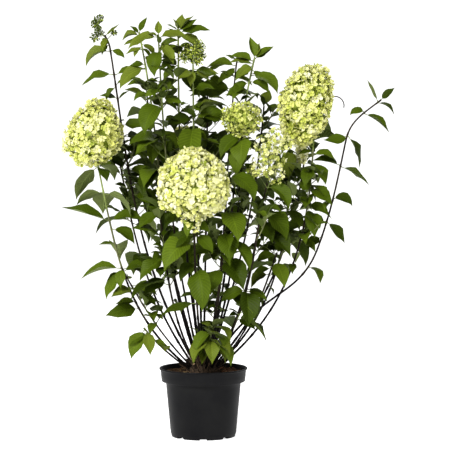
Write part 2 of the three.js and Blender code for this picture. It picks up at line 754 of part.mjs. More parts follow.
function leafSolid(leaf) {
  const { face, middle, rim } = leafPoints(leaf);
  const half = Math.max(leaf.length * LEAF.thickness, LEAF.thinnest) / 2;
  const inward = leaf.root.clone().sub(middle).normalize();
  const points = [
    leaf.root.clone().addScaledVector(inward, LEAF.sunk),
    ...rim,
    middle.clone().addScaledVector(face, half),
    middle.clone().addScaledVector(face, -half),
  ];
  const corners = 1 + rim.length;
  const faces = [];
  for (let i = 0; i < corners; i += 1) {
    const next = (i + 1) % corners;
    faces.push([corners, next, i], [corners + 1, i, next]);
  }
  return solidOf(points, faces);
}

// The space of each mass is all that lies nearer to its own stem, or to the leaves placed
// on it, than to any other's. Limbs, blooms and the pot are kept clear of as well.

class Space {
  constructor(canes) {
    this.stems = canes.map((cane) => [
      ...stationsAlong(cane.leafFrom, cane.path.total, CLEAR.stemSamples)
        .map((at) => pointAlong(cane.path, at)),
      ...placedLeaves(cane, cane.path).flatMap(spanOf),
      ...(cane.bloomCentre ? [cane.bloomCentre] : []),
    ]);
    this.limbs = canes.flatMap((cane, owner) => (
      stationsAlong(0, cane.path.total, CLEAR.limbSamples)
        .map((at) => ({ owner, at, radius: caneRadius(cane, at), point: pointAlong(cane.path, at) }))));
    this.blooms = canes.filter((cane) => cane.bloom)
      .map(({ bloomCentre, bloom }) => ({ centre: bloomCentre, ...BLOOMS[bloom] }));
  }

  // True where a point is in the owner's space and outside the blooms and the pot.
  holds(point, owner) {
    const overPot = Math.hypot(point.x, point.y) < POT.lipRadius + CLEAR.pot;
    if (overPot && point.z < POT.height + CLEAR.pot) return false;
    const inBloom = this.blooms.some(({ centre, radius, half }) => Math.hypot(
      (point.x - centre.x) / (radius + CLEAR.bloom),
      (point.y - centre.y) / (radius + CLEAR.bloom),
      (point.z - centre.z) / (half + CLEAR.bloom),
    ) < 1);
    if (inBloom) return false;
    const own = Math.min(...this.stems[owner].map((stem) => stem.distanceTo(point)));
    const least = (own + 2 * CLEAR.border) ** 2;
    return this.stems.every((stems, other) => other === owner
      || stems.every((stem) => stem.distanceToSquared(point) > least));
  }

  // True where no limb of any cane runs through or beside a triangle.
  clearOfLimbs(triangle, owner, rootAt) {
    const centre = triangle.getMidpoint(new THREE.Vector3());
    const corners = [triangle.a, triangle.b, triangle.c];
    const reach = Math.max(...corners.map((corner) => centre.distanceTo(corner)))
      + CANE.footRadius + CLEAR.limb;
    const nearest = new THREE.Vector3();
    return this.limbs.every((limb) => {
      if (limb.owner === owner && Math.abs(limb.at - rootAt) < CLEAR.ownLimb) return true;
      if (limb.point.distanceToSquared(centre) > reach * reach) return true;
      triangle.closestPointToPoint(limb.point, nearest);
      return nearest.distanceTo(limb.point) > limb.radius + CLEAR.limb;
    });
  }

  fitsLeaf(leaf, owner, rootAt) {
    if (!spanOf(leaf).every((point) => this.holds(point, owner))) return false;
    const { middle, rim } = leafPoints(leaf);
    const round = [leaf.root, ...rim, leaf.root];
    return rim.concat(leaf.root).every((_, i) => this.clearOfLimbs(
      new THREE.Triangle(middle, round[i], round[i + 1]), owner, rootAt));
  }

  // The leaf as it is, or turned, raised or shortened until it fits, or null.
  fitted(leaf, owner, rootAt) {
    for (const size of FIT.sizes) {
      for (const raise of FIT.raises) {
        for (const turn of FIT.turns) {
          const tried = { ...leaf, toward: leaf.toward + turn, lift: leaf.lift + raise,
            length: leaf.length * size };
          if (tried.length >= FIT.shortest && this.fitsLeaf(tried, owner, rootAt)) return tried;
        }
      }
    }
    return null;
  }
}

// A pair of opposite leaves at a distance back from the tip of a stem or twig.
function leafPair(root, along, toward, back, full, random) {
  const grown = smooth(back / LEAF.growOver);
  return [0, 180].map((turn) => ({
    root: root.clone().addScaledVector(along, turn ? -LEAF.rootGap : LEAF.rootGap),
    toward: toward + turn + spread(random, LEAF.turnSpread),
    lift: lerp(...LEAF.lift, smooth(back / LEAF.liftOver)) + spread(random, LEAF.liftSpread),
    droop: lerp(...LEAF.droop, grown) + spread(random, LEAF.droopSpread),
    roll: spread(random, LEAF.roll),
    length: full * lerp(LEAF.youngest, 1, grown) * between(random, ...LEAF.sizeSpread),
  }));
}

// One mass: the rest of the cane with its leaves, its side twig and its bloom.

function growMass(cane, owner, space) {
  const { path, leafFrom } = cane;
  const random = seeded(NODE.seed + (cane.seed ?? owner));
  const stations = stationsAlong(leafFrom + GAP, path.total, cane.elbows ? CANE.bentStemStep : CANE.stemStep);
  const stem = measured(stations.map((at) => pointAlong(path, at)));
  const radii = stations.map((at) => caneRadius(cane, at));
  const startAlong = directionAlong(path, leafFrom);
  const parts = [rodSolid(stem.points, radii, CANE.stemSides, startAlong)];
  const keep = (leaf, rootAt) => {
    const fitted = space.fitted(leaf, owner, rootAt);
    if (fitted) parts.push(leafSolid(fitted));
  };
  for (const leaf of placedLeaves(cane, stem)) keep(leaf, distanceAtHeight(path, leaf.rise));
  let back = cane.bloom ? NODE.belowBloom : NODE.belowTip;
  if (cane.ruleBelow) back = path.total - distanceAtHeight(path, cane.ruleBelow);
  let turn = between(random, 0, 180);
  const lowest = cane.onlyPlaced ? 0 : path.total - leafFrom - NODE.aboveFoot;
  for (let node = 0; back < lowest; node += 1) {
    const at = path.total - back;
    const root = pointAlong(stem, stem.total - back);
    const age = back + (cane.bloom ? NODE.bloomAge : 0);
    const pair = leafPair(root, directionAlong(path, at), turn, age, LEAF.full, random);
    for (const leaf of pair) keep(leaf, at);
    if (node === TWIG.atNode) {
      const twig = growTwig(root, turn + 90, random);
      if (twig.reached.every((point) => space.holds(point, owner))
        && space.clearOfLimbs(twig.narrow, owner, at)) {
        parts.push(twig.solid);
        for (const leaf of twig.leaves) keep(leaf, at);
      }
    }
    const gap = Math.min(NODE.firstGap + NODE.gapStep * node, NODE.longestGap);
    back += gap * between(random, ...NODE.gapSpread);
    turn += 90 + spread(random, NODE.turnSpread);
  }
  if (cane.bloom) parts.push(...bloomSolids(cane));
  if (cane.withered) {
    parts.push(witheredSolid(pointAlong(stem, distanceAtHeight(stem, cane.withered.rise)), cane.withered));
  }
  return largestBody(wasm.Manifold.union(parts));
}

function growTwig(root, toward, random) {
  const length = TWIG.length * between(random, ...TWIG.lengthSpread);
  const along = leaning(90 - TWIG.lift - spread(random, TWIG.liftSpread), toward);
  const at = (share) => root.clone().addScaledVector(along, length * share);
  return {
    solid: rodSolid([root, at(1)], [TWIG.footRadius, TWIG.tipRadius], TWIG.sides),
    reached: [at(0.5), at(1)],
    narrow: new THREE.Triangle(root, at(1).addScaledVector(UP, TWIG.footRadius),
      at(1).addScaledVector(UP, -TWIG.footRadius)),
    leaves: TWIG.pairs.flatMap(({ share, back, turn }) => (
      leafPair(at(share), along, toward + turn, back, LEAF.full * TWIG.leaf, random))),
  };
}

// Blooms. A full head is one lumpy body, wide below its middle. An open one is a
// few round lobes of florets set round its stalk, with gaps between them.

function bloomCentre(cane) {
  const bloom = BLOOMS[cane.bloom];
  const away = bloom.stalk ?? bloom.half * 0.9;
  return placed(cane.toward, cane.reach, cane.rise)
    .addScaledVector(leaning(bloom.tilt, cane.toward), away);
}

function bloomSolids(cane) {
  const bloom = BLOOMS[cane.bloom];
  const random = seeded(HEAD.seed + bloom.seed);
  return bloom.lobes ? openHead(cane, bloom, random) : [fullHead(cane, bloom, random)];
}

function fullHead(cane, bloom, random) {
  const waves = Array.from({ length: HEAD.waves }, () => ({
    along: leaning(between(random, 0, 180), between(random, 0, 360)),
    rate: between(random, ...HEAD.rates),
    phase: between(random, 0, 2 * Math.PI),
  }));
  const geometry = new THREE.IcosahedronGeometry(1, HEAD.detail);
  const position = geometry.getAttribute('position');
  for (let i = 0; i < position.count; i += 1) {
    const way = new THREE.Vector3().fromBufferAttribute(position, i);
    const lump = waves.reduce((sum, wave) => sum + Math.sin(wave.rate * way.dot(wave.along) + wave.phase), 0);
    const size = HEAD.base + HEAD.wave * lump;
    const girth = bloom.radius * size * (1 - HEAD.taper * Math.abs(way.z) - bloom.full * way.z);
    const lean = leaning(90, cane.toward).multiplyScalar(bloom.slant * bloom.half * way.z);
    position.setXYZ(i, girth * way.x + lean.x, girth * way.y + lean.y, bloom.half * size * way.z);
  }
  geometry.translate(...cane.bloomCentre);
  return solidOfGeometry(geometry);
}

function openHead(cane, bloom, random) {
  const centre = cane.bloomCentre;
  const foot = placed(cane.toward, cane.reach, cane.rise).addScaledVector(UP, -STALK.sunk);
  const top = centre.clone().addScaledVector(UP, bloom.half - bloom.lobe);
  const parts = [rodSolid([foot, centre, top], STALK.radii, STALK.sides)];
  for (let i = 0; i < bloom.lobes; i += 1) {
    const height = 1 - (2 * i) / (bloom.lobes - 1);
    const radius = bloom.lobe * between(random, 0.85, 1.1);
    const out = (bloom.radius - radius) * (1 - 0.5 * Math.abs(height));
    const toward = STALK.goldenTurn * i + spread(random, STALK.turnSpread);
    const lobe = centre.clone()
      .addScaledVector(UP, height * (bloom.half - radius))
      .addScaledVector(leaning(90, toward), out);
    const geometry = new THREE.IcosahedronGeometry(radius, 0);
    geometry.translate(...lobe);
    parts.push(solidOfGeometry(geometry));
  }
  return parts;
}

// A bare stalk that keeps its first direction for a while, then curls evenly downwards.
function witheredSolid(root, { toward, lift, curl, length }) {
  const points = [root];
  for (let i = 0; i < WITHERED.steps; i += 1) {
    const bent = Math.max((i + 0.5) / WITHERED.steps - WITHERED.straight, 0) / (1 - WITHERED.straight);
    points.push(points[i].clone()
      .addScaledVector(leaning(90 - lift + curl * bent, toward), length / WITHERED.steps));
  }
  const radii = points.map((_, i) => lerp(...WITHERED.radii, i / WITHERED.steps));
  return rodSolid(points, radii, WITHERED.sides);
}

// The whole plant.

const starts = spreadStarts(CANES);
const canes = CANES.map((row, i) => {
  const footRadius = row.rise > CANE.shortBelow ? CANE.footRadius : CANE.shortFootRadius;
  const cane = { ...row, start: starts[i], footRadius };
  cane.path = canePath(cane);
  cane.leafFrom = cane.path.total * cane.bare;
  if (cane.bloom) cane.bloomCentre = bloomCentre(cane);
  return cane;
});
const space = new Space(canes);

const LOOKS = {
  pot: { color: 0x1b1c1d, roughness: 0.6, metalness: 0 },
  soil: { color: 0x4a2c1a, roughness: 0.95, metalness: 0 },
  stool: { color: 0x4d3524, roughness: 0.9, metalness: 0 },
  cane: { color: 0x4b3a26, roughness: 0.75, metalness: 0 },
  foliage: { color: 0x4f7a2c, roughness: 0.6, metalness: 0 },
};

const plant = new THREE.Group();

function addPiece(name, solid, look) {
  const piece = new THREE.Mesh(geometryOf(solid), new THREE.MeshStandardMaterial(LOOKS[look]));
  piece.name = name;
  plant.add(piece);
}

addPiece('pot', potSolid(), 'pot');
addPiece('soil', soilSolid(), 'soil');
addPiece('stool', stoolSolid(starts), 'stool');
canes.forEach((cane, owner) => {
  addPiece(`cane_${cane.name}`, caneSolid(cane), 'cane');
  addPiece(`foliage_${cane.name}`, growMass(cane, owner, space), 'foliage');
});

export default plant;
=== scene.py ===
# %% [markdown]
# # A panicle hydrangea in its nursery pot
#
# The shrub is a clump of woody canes that rise from one stool at the level of the
# compost. Each cane carries opposite leaves in crossed pairs and some end in a flower
# head. We rebuild it from the frame that the solids give: the same rule grows the
# same canes and leaves again here, only with finer outlines, finer twigs and real
# florets. All growth is worked out in millimetres and stored in metres.

# %% The frame
import math

import bmesh
import bpy
import numpy as np
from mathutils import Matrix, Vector


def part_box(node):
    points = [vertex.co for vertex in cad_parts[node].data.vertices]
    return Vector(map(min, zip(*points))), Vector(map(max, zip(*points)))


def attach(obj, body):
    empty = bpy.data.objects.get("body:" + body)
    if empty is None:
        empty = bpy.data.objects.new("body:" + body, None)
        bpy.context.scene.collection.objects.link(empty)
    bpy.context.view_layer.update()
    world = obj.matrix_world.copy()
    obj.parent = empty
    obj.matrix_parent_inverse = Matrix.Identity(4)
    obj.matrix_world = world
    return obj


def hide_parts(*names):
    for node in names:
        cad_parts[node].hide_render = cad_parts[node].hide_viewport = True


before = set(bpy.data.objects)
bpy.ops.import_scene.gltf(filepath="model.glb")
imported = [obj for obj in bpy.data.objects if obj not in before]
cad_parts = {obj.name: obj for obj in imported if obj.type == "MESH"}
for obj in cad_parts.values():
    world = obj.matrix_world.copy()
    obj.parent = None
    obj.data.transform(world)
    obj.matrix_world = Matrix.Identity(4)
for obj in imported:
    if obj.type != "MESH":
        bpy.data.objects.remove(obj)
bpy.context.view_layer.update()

MM = 0.001
TURN = 2 * math.pi


def add_object(name, data):
    made = bpy.data.objects.new(name, data)
    bpy.context.scene.collection.objects.link(made)
    return made


# %% Helpers for nodes


def add_node(tree, kind, settings=None, values=None):
    node = tree.nodes.new(kind)
    for key, value in (settings or {}).items():
        setattr(node, key, value)
    for key, value in (values or {}).items():
        node.inputs[key].default_value = value
    return node


def wire(tree, *links):
    """Each link is a node, its output's name, the next node and its input's name."""
    for source, output, target, entry in links:
        tree.links.new(source.outputs[output], target.inputs[entry])


# %% [markdown]
# ## Studio
#
# The plant stands alone on plain white, lit softly from the upper left. A large
# area lamp gives soft shadows, a second one fills the other side, and a bright
# world keeps the underside of the leaves readable. The camera is far off with a
# long lens, which is how the upright lines of the photo stay upright.

# %% Camera
PICTURE = {"pixels": 454, "mm_per_pixel": 2.602}
CAMERA = {"from": (0.0617, -5.5, 0.9), "aim_z": 0.5475, "sensor": 36.0}


def look_at(thing, target):
    way = Vector(target) - thing.location
    thing.rotation_euler = way.to_track_quat("-Z", "Y").to_euler()
    return way.length


def add_camera():
    data = bpy.data.cameras.new("view")
    camera = add_object("view", data)
    camera.location = CAMERA["from"]
    distance = look_at(camera, (CAMERA["from"][0], 0.0, CAMERA["aim_z"]))
    data.sensor_width = CAMERA["sensor"]
    data.lens = CAMERA["sensor"] * distance / (PICTURE["pixels"] * PICTURE["mm_per_pixel"] * MM)
    bpy.context.scene.camera = camera
    return data.lens


print("lens of", round(add_camera()), "mm")

# %% Lamps and world
LAMPS = [  # name, place, size, power
    ("key", (-2.0, -3.6, 3.2), 1.8, 245),
    ("fill", (3.4, -2.6, 1.8), 3.0, 40),
    ("rim", (0.8, 3.4, 3.0), 2.4, 40),
]
LAMP_AIM = (0, 0, 0.55)
WORLD = {"From Min": 0.08, "From Max": 0.24, "To Min": 1.0, "To Max": 0.16}  # rise of the view, strength


def add_lamps():
    for name, place, size, power in LAMPS:
        data = bpy.data.lights.new(name, "AREA")
        data.size, data.energy = size, power
        light = add_object(name, data)
        light.location = place
        look_at(light, LAMP_AIM)


def add_world():
    """A white world that is bright round the horizon and dimmer overhead."""
    world = bpy.data.worlds.new("studio")
    world.use_nodes = True
    tree, sky = world.node_tree, world.node_tree.nodes["Background"]
    sky.inputs["Color"].default_value = (1, 1, 1, 1)
    way, parts = add_node(tree, "ShaderNodeTexCoord"), add_node(tree, "ShaderNodeSeparateXYZ")
    fade = add_node(tree, "ShaderNodeMapRange", None, WORLD)
    wire(tree, (way, "Generated", parts, "Vector"), (parts, "Z", fade, "Value"), (fade, "Result", sky, "Strength"))
    bpy.context.scene.world = world


add_lamps()
add_world()
bpy.context.scene.view_settings.view_transform = "Standard"
bpy.context.scene.view_settings.look = "Medium High Contrast"
print("lamps:", [name for name, *_ in LAMPS])

# %% [markdown]
# ## Materials
#
# Every finish is a node material. A leaf is a little glossy, with veins that are
# paler than the blade. Old bark is dark and cracked, florets are papery, and the
# pot is moulded black plastic with a fine grain. Each tint is a material of its own.

# %% Helpers for materials


def new_material(name, color, roughness, sockets=None):
    made = bpy.data.materials.new(name)
    made.use_nodes = True
    shader = made.node_tree.nodes["Principled BSDF"]
    values = {"Base Color": (*color, 1), "Roughness": roughness, **(sockets or {})}
    for socket, value in values.items():
        shader.inputs[socket].default_value = value
    return made, made.node_tree, shader


def noise(tree, scale, detail, coarse=0.5):
    """Noise that sits still on a piece, from its object coordinates."""
    place = add_node(tree, "ShaderNodeTexCoord")
    pattern = add_node(tree, "ShaderNodeTexNoise", None,
                       {"Scale": scale, "Detail": detail, "Roughness": coarse})
    wire(tree, (place, "Object", pattern, "Vector"))
    return pattern.outputs["Fac"]


def ramp_into(tree, factor, stops, socket):
    """Lead a factor through a ramp of colours into a socket."""
    ramp = add_node(tree, "ShaderNodeValToRGB")
    for element, (place, color) in zip(ramp.color_ramp.elements, stops):
        element.position, element.color = place, (*color, 1)
    tree.links.new(factor, ramp.inputs["Fac"])
    tree.links.new(ramp.outputs["Color"], socket)


def add_bump(tree, shader, height, strength, distance):
    bump = add_node(tree, "ShaderNodeBump", None, {"Strength": strength, "Distance": distance})
    tree.links.new(height, bump.inputs["Height"])
    wire(tree, (bump, "Normal", shader, "Normal"))


def shaded(color, share):
    return tuple(channel * share for channel in color)


# %% [markdown]
# ### Leaf
#
# The blade carries its own map: U runs across it and V from stalk to tip. Veins
# that follow that map always lie right, however the leaf is turned. The side veins
# are bands that sweep towards the tip: distance along the leaf, less the distance
# from the midrib, put through a wave.

# %% Leaf material
# The darkest of these tints are painted shade for the leaves deep and low in the clump.
LEAF_TINTS = {
    "leaf_deep_shade": (0.016, 0.024, 0.002),
    "leaf_dark": (0.034, 0.053, 0.003),
    "leaf_green": (0.058, 0.087, 0.005),
    "leaf_fresh": (0.082, 0.118, 0.009),
    "leaf_light": (0.112, 0.142, 0.017),
    "leaf_young": (0.140, 0.176, 0.023),
}
UNDERSIDE_TINTS = {"underleaf_green": (0.054, 0.074, 0.016), "underleaf_pale": (0.120, 0.148, 0.048)}
VEIN = {"count": 7, "sweep": 0.42, "narrow": 0.45, "midrib": 22, "bump": 0.55}
MOTTLE = {"scale": 34.0, "detail": 3.0, "stops": ((0.3, 0.88), (0.7, 1.12))}
UPPER_SIDE = {"vein": 1.42, "roughness": 0.46, "relief": 0.0010}
UNDERSIDE = {"vein": 1.8, "roughness": 0.62, "relief": -0.0014}


def leaf_material(name, color, side):
    made, tree, shader = new_material(name, color, side["roughness"], {"Specular IOR Level": 0.10})
    uv = add_node(tree, "ShaderNodeUVMap", {"uv_map": "leaf"})
    split = add_node(tree, "ShaderNodeSeparateXYZ")
    wire(tree, (uv, "UV", split, "Vector"))

    def maths(operation, first, second=0):
        node = add_node(tree, "ShaderNodeMath", {"operation": operation})
        for socket, value in zip(node.inputs, (first, second)):
            if isinstance(value, (int, float)):
                socket.default_value = value
            else:
                tree.links.new(value, socket)
        return node.outputs["Value"]

    off = maths("ABSOLUTE", maths("SUBTRACT", split.outputs["X"], 0.5))
    swept = maths("SUBTRACT", split.outputs["Y"], maths("MULTIPLY", off, VEIN["sweep"]))
    wave = maths("SINE", maths("MULTIPLY", swept, TURN * VEIN["count"]))
    side_vein = maths("POWER", maths("ABSOLUTE", wave), VEIN["narrow"])
    midrib = maths("MINIMUM", maths("MULTIPLY", off, VEIN["midrib"]), 1)
    blade = maths("MULTIPLY", maths("MINIMUM", side_vein, 1), midrib)
    mixed = add_node(tree, "ShaderNodeMix", {"data_type": "RGBA"})
    mixed.inputs["A"].default_value = (*shaded(color, side["vein"]), 1)
    stops = [(place, shaded(color, share)) for place, share in MOTTLE["stops"]]
    ramp_into(tree, noise(tree, MOTTLE["scale"], MOTTLE["detail"]), stops, mixed.inputs["B"])
    tree.links.new(blade, mixed.inputs["Factor"])
    wire(tree, (mixed, "Result", shader, "Base Color"))
    add_bump(tree, shader, blade, VEIN["bump"], side["relief"])
    return made


looks = {tint: leaf_material(tint, color, UPPER_SIDE) for tint, color in LEAF_TINTS.items()}
for tint, color in UNDERSIDE_TINTS.items():
    looks[tint] = leaf_material(tint, color, UNDERSIDE)
print("leaf materials:", len(looks))

# %% [markdown]
# ### Bark, stalks, florets, pot and earth
#
# Canes are nearly black and finely ribbed low down, brown higher up, and olive or
# fresh green where they are this year's growth. The florets open lime green and
# turn cream, so the heads hold several tints side by side. All of these finishes are
# made alike: a broad noise moves the colour between two tones, and a fine one, or
# the same one again, raises the bump.

# %% Grained materials
CANE_TINTS = {
    "cane_old": (0.006, 0.004, 0.003),
    "cane_brown": (0.022, 0.016, 0.009),
    "cane_olive": (0.120, 0.128, 0.058),
    "cane_green": (0.155, 0.190, 0.060),
}
FLORET_TINTS = {
    "floret_bud": (0.066, 0.092, 0.015),
    "floret_green": (0.280, 0.340, 0.050),
    "floret_lime": (0.520, 0.565, 0.120),
    "floret_yellow": (0.665, 0.680, 0.220),
    "floret_cream": (0.745, 0.740, 0.340),
    "floret_pale": (0.790, 0.785, 0.480),
}
BARK = {"roughness": 0.72, "tones": (30.0, 3.0), "grain": (260.0, 4.0), "bump": (0.5, 0.0008),
        "sockets": {"Specular IOR Level": 0.2}}
PETAL = {"roughness": 0.6, "tones": (420.0, 2.0), "bump": (0.3, 0.0005),
         "sockets": {"Specular IOR Level": 0.25, "Subsurface Weight": 0.25,
                     "Subsurface Radius": (0.004, 0.004, 0.002), "Subsurface Scale": 1.0}}
PLASTIC = {"roughness": 0.48, "tones": (14.0, 5.0), "grain": (900.0, 2.0), "bump": (0.25, 0.0004),
           "sockets": {"Specular IOR Level": 0.12}, "gloss": ((0.3, 0.40), (0.8, 0.56))}
EARTHS = {  # dark tone, light tone, scale of the grains
    "compost": ((0.035, 0.020, 0.011), (0.165, 0.088, 0.042), 240.0),
    "bark_chip": ((0.100, 0.040, 0.018), (0.330, 0.150, 0.065), 160.0),
    "bark_chip_pale": ((0.190, 0.130, 0.060), (0.420, 0.310, 0.160), 160.0),
    "stool_wood": ((0.012, 0.008, 0.005), (0.085, 0.055, 0.032), 190.0),
    "cut_wood": ((0.120, 0.075, 0.040), (0.260, 0.180, 0.105), 300.0),
}


def grained_material(name, color, stops, look):
    """A finish of two tones in noise, with a bump of its own grain, or of the same noise."""
    made, tree, shader = new_material(name, color, look["roughness"], look.get("sockets"))
    tones = noise(tree, *look["tones"])
    ramp_into(tree, tones, stops, shader.inputs["Base Color"])
    if "gloss" in look:
        gloss = [(place, (level,) * 3) for place, level in look["gloss"]]
        ramp_into(tree, tones, gloss, shader.inputs["Roughness"])
    grain = noise(tree, *look["grain"]) if "grain" in look else tones
    add_bump(tree, shader, grain, *look["bump"])
    return made


for tint, color in CANE_TINTS.items():
    looks[tint] = grained_material(tint, color, [(0.35, shaded(color, 0.6)), (0.7, shaded(color, 1.6))], BARK)
for tint, color in FLORET_TINTS.items():
    looks[tint] = grained_material(tint, color, [(0.3, shaded(color, 0.88)), (0.7, shaded(color, 1.08))], PETAL)
plastic, dust = (0.006, 0.006, 0.007), (0.012, 0.012, 0.012)
looks["black_plastic"] = grained_material("black_plastic", plastic, [(0.35, plastic), (0.75, dust)], PLASTIC)
for name, (dark, light, scale) in EARTHS.items():
    look = {"roughness": 0.95, "tones": (scale, 6.0, 0.7), "bump": (0.9, 0.003)}
    looks[name] = grained_material(name, dark, [(0.35, dark), (0.65, light)], look)
print("all materials:", len(looks))

# %% [markdown]
# ## The sizes of the plant
#
# A shrub is easier to grow than to draw. These tables hold what the photo shows:
# where each cane's tip is, how it leans, what it carries, and the few leaves that
# show singly. The growing rule makes all the rest.

# %% Sizes of the stool, canes and leaves
GAP = 0.3
UP = np.array([0.0, 0.0, 1.0])
POT = {"height": 180, "lip": 115, "lip_depth": 4, "collar_top": 112, "collar_foot": 109,
       "collar_depth": 35, "body_top": 98, "body_foot": 86, "base": 83, "corner": 12,
       "wall": 2.2, "floor": 3, "notches": 8, "notch_width": 20, "notch_height": 7}
SOIL = {"top": 168}
STOOL = {"radius": 50, "centre": np.array([0.0, 0.0, 150.0])}
STUB = {"count": 8, "length": (10, 24), "radius": 4, "sunk": 8, "lean": (8, 56), "apart": 10,
        "tries": 900, "seed": 31}
CANE = {"foot": 3.9, "short_foot": 3.2, "short_below": 560, "tip": 1.7, "pull": 0.38, "steps": 40,
        "stem_step": 100, "bent_stem_step": 45, "apart": 11.5, "push": 0.3,
        "lowest_start": 57, "rounds": 400}
LEAF = {"full": 122, "youngest": 0.5, "grow_over": 130, "lift": (62, 16), "lift_over": 200,
        "lift_spread": 14, "droop": (40, 84), "droop_spread": 16, "roll": 38, "turn_spread": 16,
        "size_spread": (0.86, 1.1), "width": 0.56, "waist": 0.84, "shares": (0.33, 0.45, 0.64),
        "fold": 18, "root_gap": 1.6}
NODE = {"below_tip": 3, "below_bloom": 16, "bloom_age": 70, "first_gap": 30, "gap_step": 14,
        "longest_gap": 76, "gap_spread": (0.85, 1.15), "turn_spread": 14, "above_foot": 12, "seed": 1000}
TWIG = {"at_node": 2, "length": 95, "length_spread": (0.6, 1.1), "lift": 50, "lift_spread": 14,
        "foot": 1.9, "tip": 1.3, "leaf": 0.62, "pairs": ((0.97, 20, 0), (0.55, 70, 90))}
CLEAR = {"border": 2.5, "limb": 2.2, "bloom": 4, "pot": 7, "stem_samples": 12, "limb_samples": 5,
         "own_limb": 26, "rib_samples": (0.3, 0.75)}
FIT = {"sizes": (1, 0.85, 0.7, 0.56), "raises": (0, -22, 22), "turns": (0, 18, -18, 36, -36),
       "shortest": 34}

# %% The flower heads
# Those with "lobes" are open. "tints" are shares of each tint of a hundred, greenest first.
# "beside" rows are small clusters near a head: to the right of it, above it, radius, florets.
BLOOMS = {
    "left": {"radius": 73, "half": 85, "tilt": 5, "slant": -0.12, "full": 0.25, "seed": 1,
             "florets": 760, "size": 0.80, "tints": (0, 2, 14, 42, 34, 8), "depth": 12},
    "front": {"radius": 91, "half": 88, "tilt": 2, "slant": 0, "full": 0.14, "seed": 2,
              "florets": 900, "size": 0.86, "tints": (0, 1, 6, 27, 42, 24), "depth": 13,
              "beside": [(-4, -97, 23, 32), (16, -84, 15, 12)]},
    "middle": {"radius": 50, "half": 43, "tilt": -6, "slant": 0, "full": -0.08, "seed": 3,
               "florets": 640, "size": 0.44, "tints": (3, 16, 50, 27, 4, 0), "depth": 12, "ragged": 1.9},
    "right": {"radius": 68, "half": 107, "stalk": 80, "tilt": -15, "slant": 0.15, "full": -0.12, "seed": 4,
              "florets": 820, "size": 0.80, "tints": (0, 3, 18, 44, 28, 7), "depth": 12,
              "beside": [(-34, -84, 22, 26), (-52, -52, 15, 14)]},
    "back": {"radius": 80, "half": 84, "tilt": 6, "slant": 0, "full": 0.1, "seed": 5,
             "florets": 640, "size": 0.90, "tints": (0, 2, 16, 40, 32, 10), "depth": 12},
    "loose": {"radius": 52, "half": 72, "tilt": 4, "lobes": 6, "lobe": 27, "seed": 6, "kind": "cupped",
              "florets": 30, "size": 0.55, "spread": (0.5, 1.15), "tints": (4, 12, 22, 28, 26, 8),
              "beside": [(-32, 30, 19, 20), (42, 92, 17, 16)]},
    "spire": {"radius": 24, "half": 36, "stalk": 27, "tilt": 46, "lobes": 5, "lobe": 12, "seed": 7, "kind": "bud",
              "florets": 32, "size": 1.15, "spread": (0.5, 1.0), "tints": (86, 14, 0, 0, 0, 0),
              "beside": [(25, 7, 8, 18)]},
    "top": {"radius": 36, "half": 34, "tilt": 4, "lobes": 6, "lobe": 17, "wide": 1.7, "seed": 8, "kind": "bud",
            "florets": 92, "size": 0.95, "spread": (0.3, 1.0), "tints": (34, 48, 18, 0, 0, 0)},
    "sprig": {"radius": 14, "half": 16, "stalk": 36, "tilt": 125, "lobes": 2, "lobe": 11, "seed": 9,
              "kind": "open", "florets": 32, "size": 0.7, "spread": (0.6, 1.9), "tints": (0, 0, 2, 12, 44, 42)},
}
HEAD = {"waves": 7, "wave": 0.018, "rates": (5, 9), "base": 0.97, "taper": 0.08, "raised": 0.9, "seed": 500}
WITHERED = {"straight": 0.55, "radii": (1.9, 1.4), "steps": 16}
STALK = {"sunk": 4, "radii": (1.8, 1.5, 1.2), "golden_turn": 137.5, "turn_spread": 15}

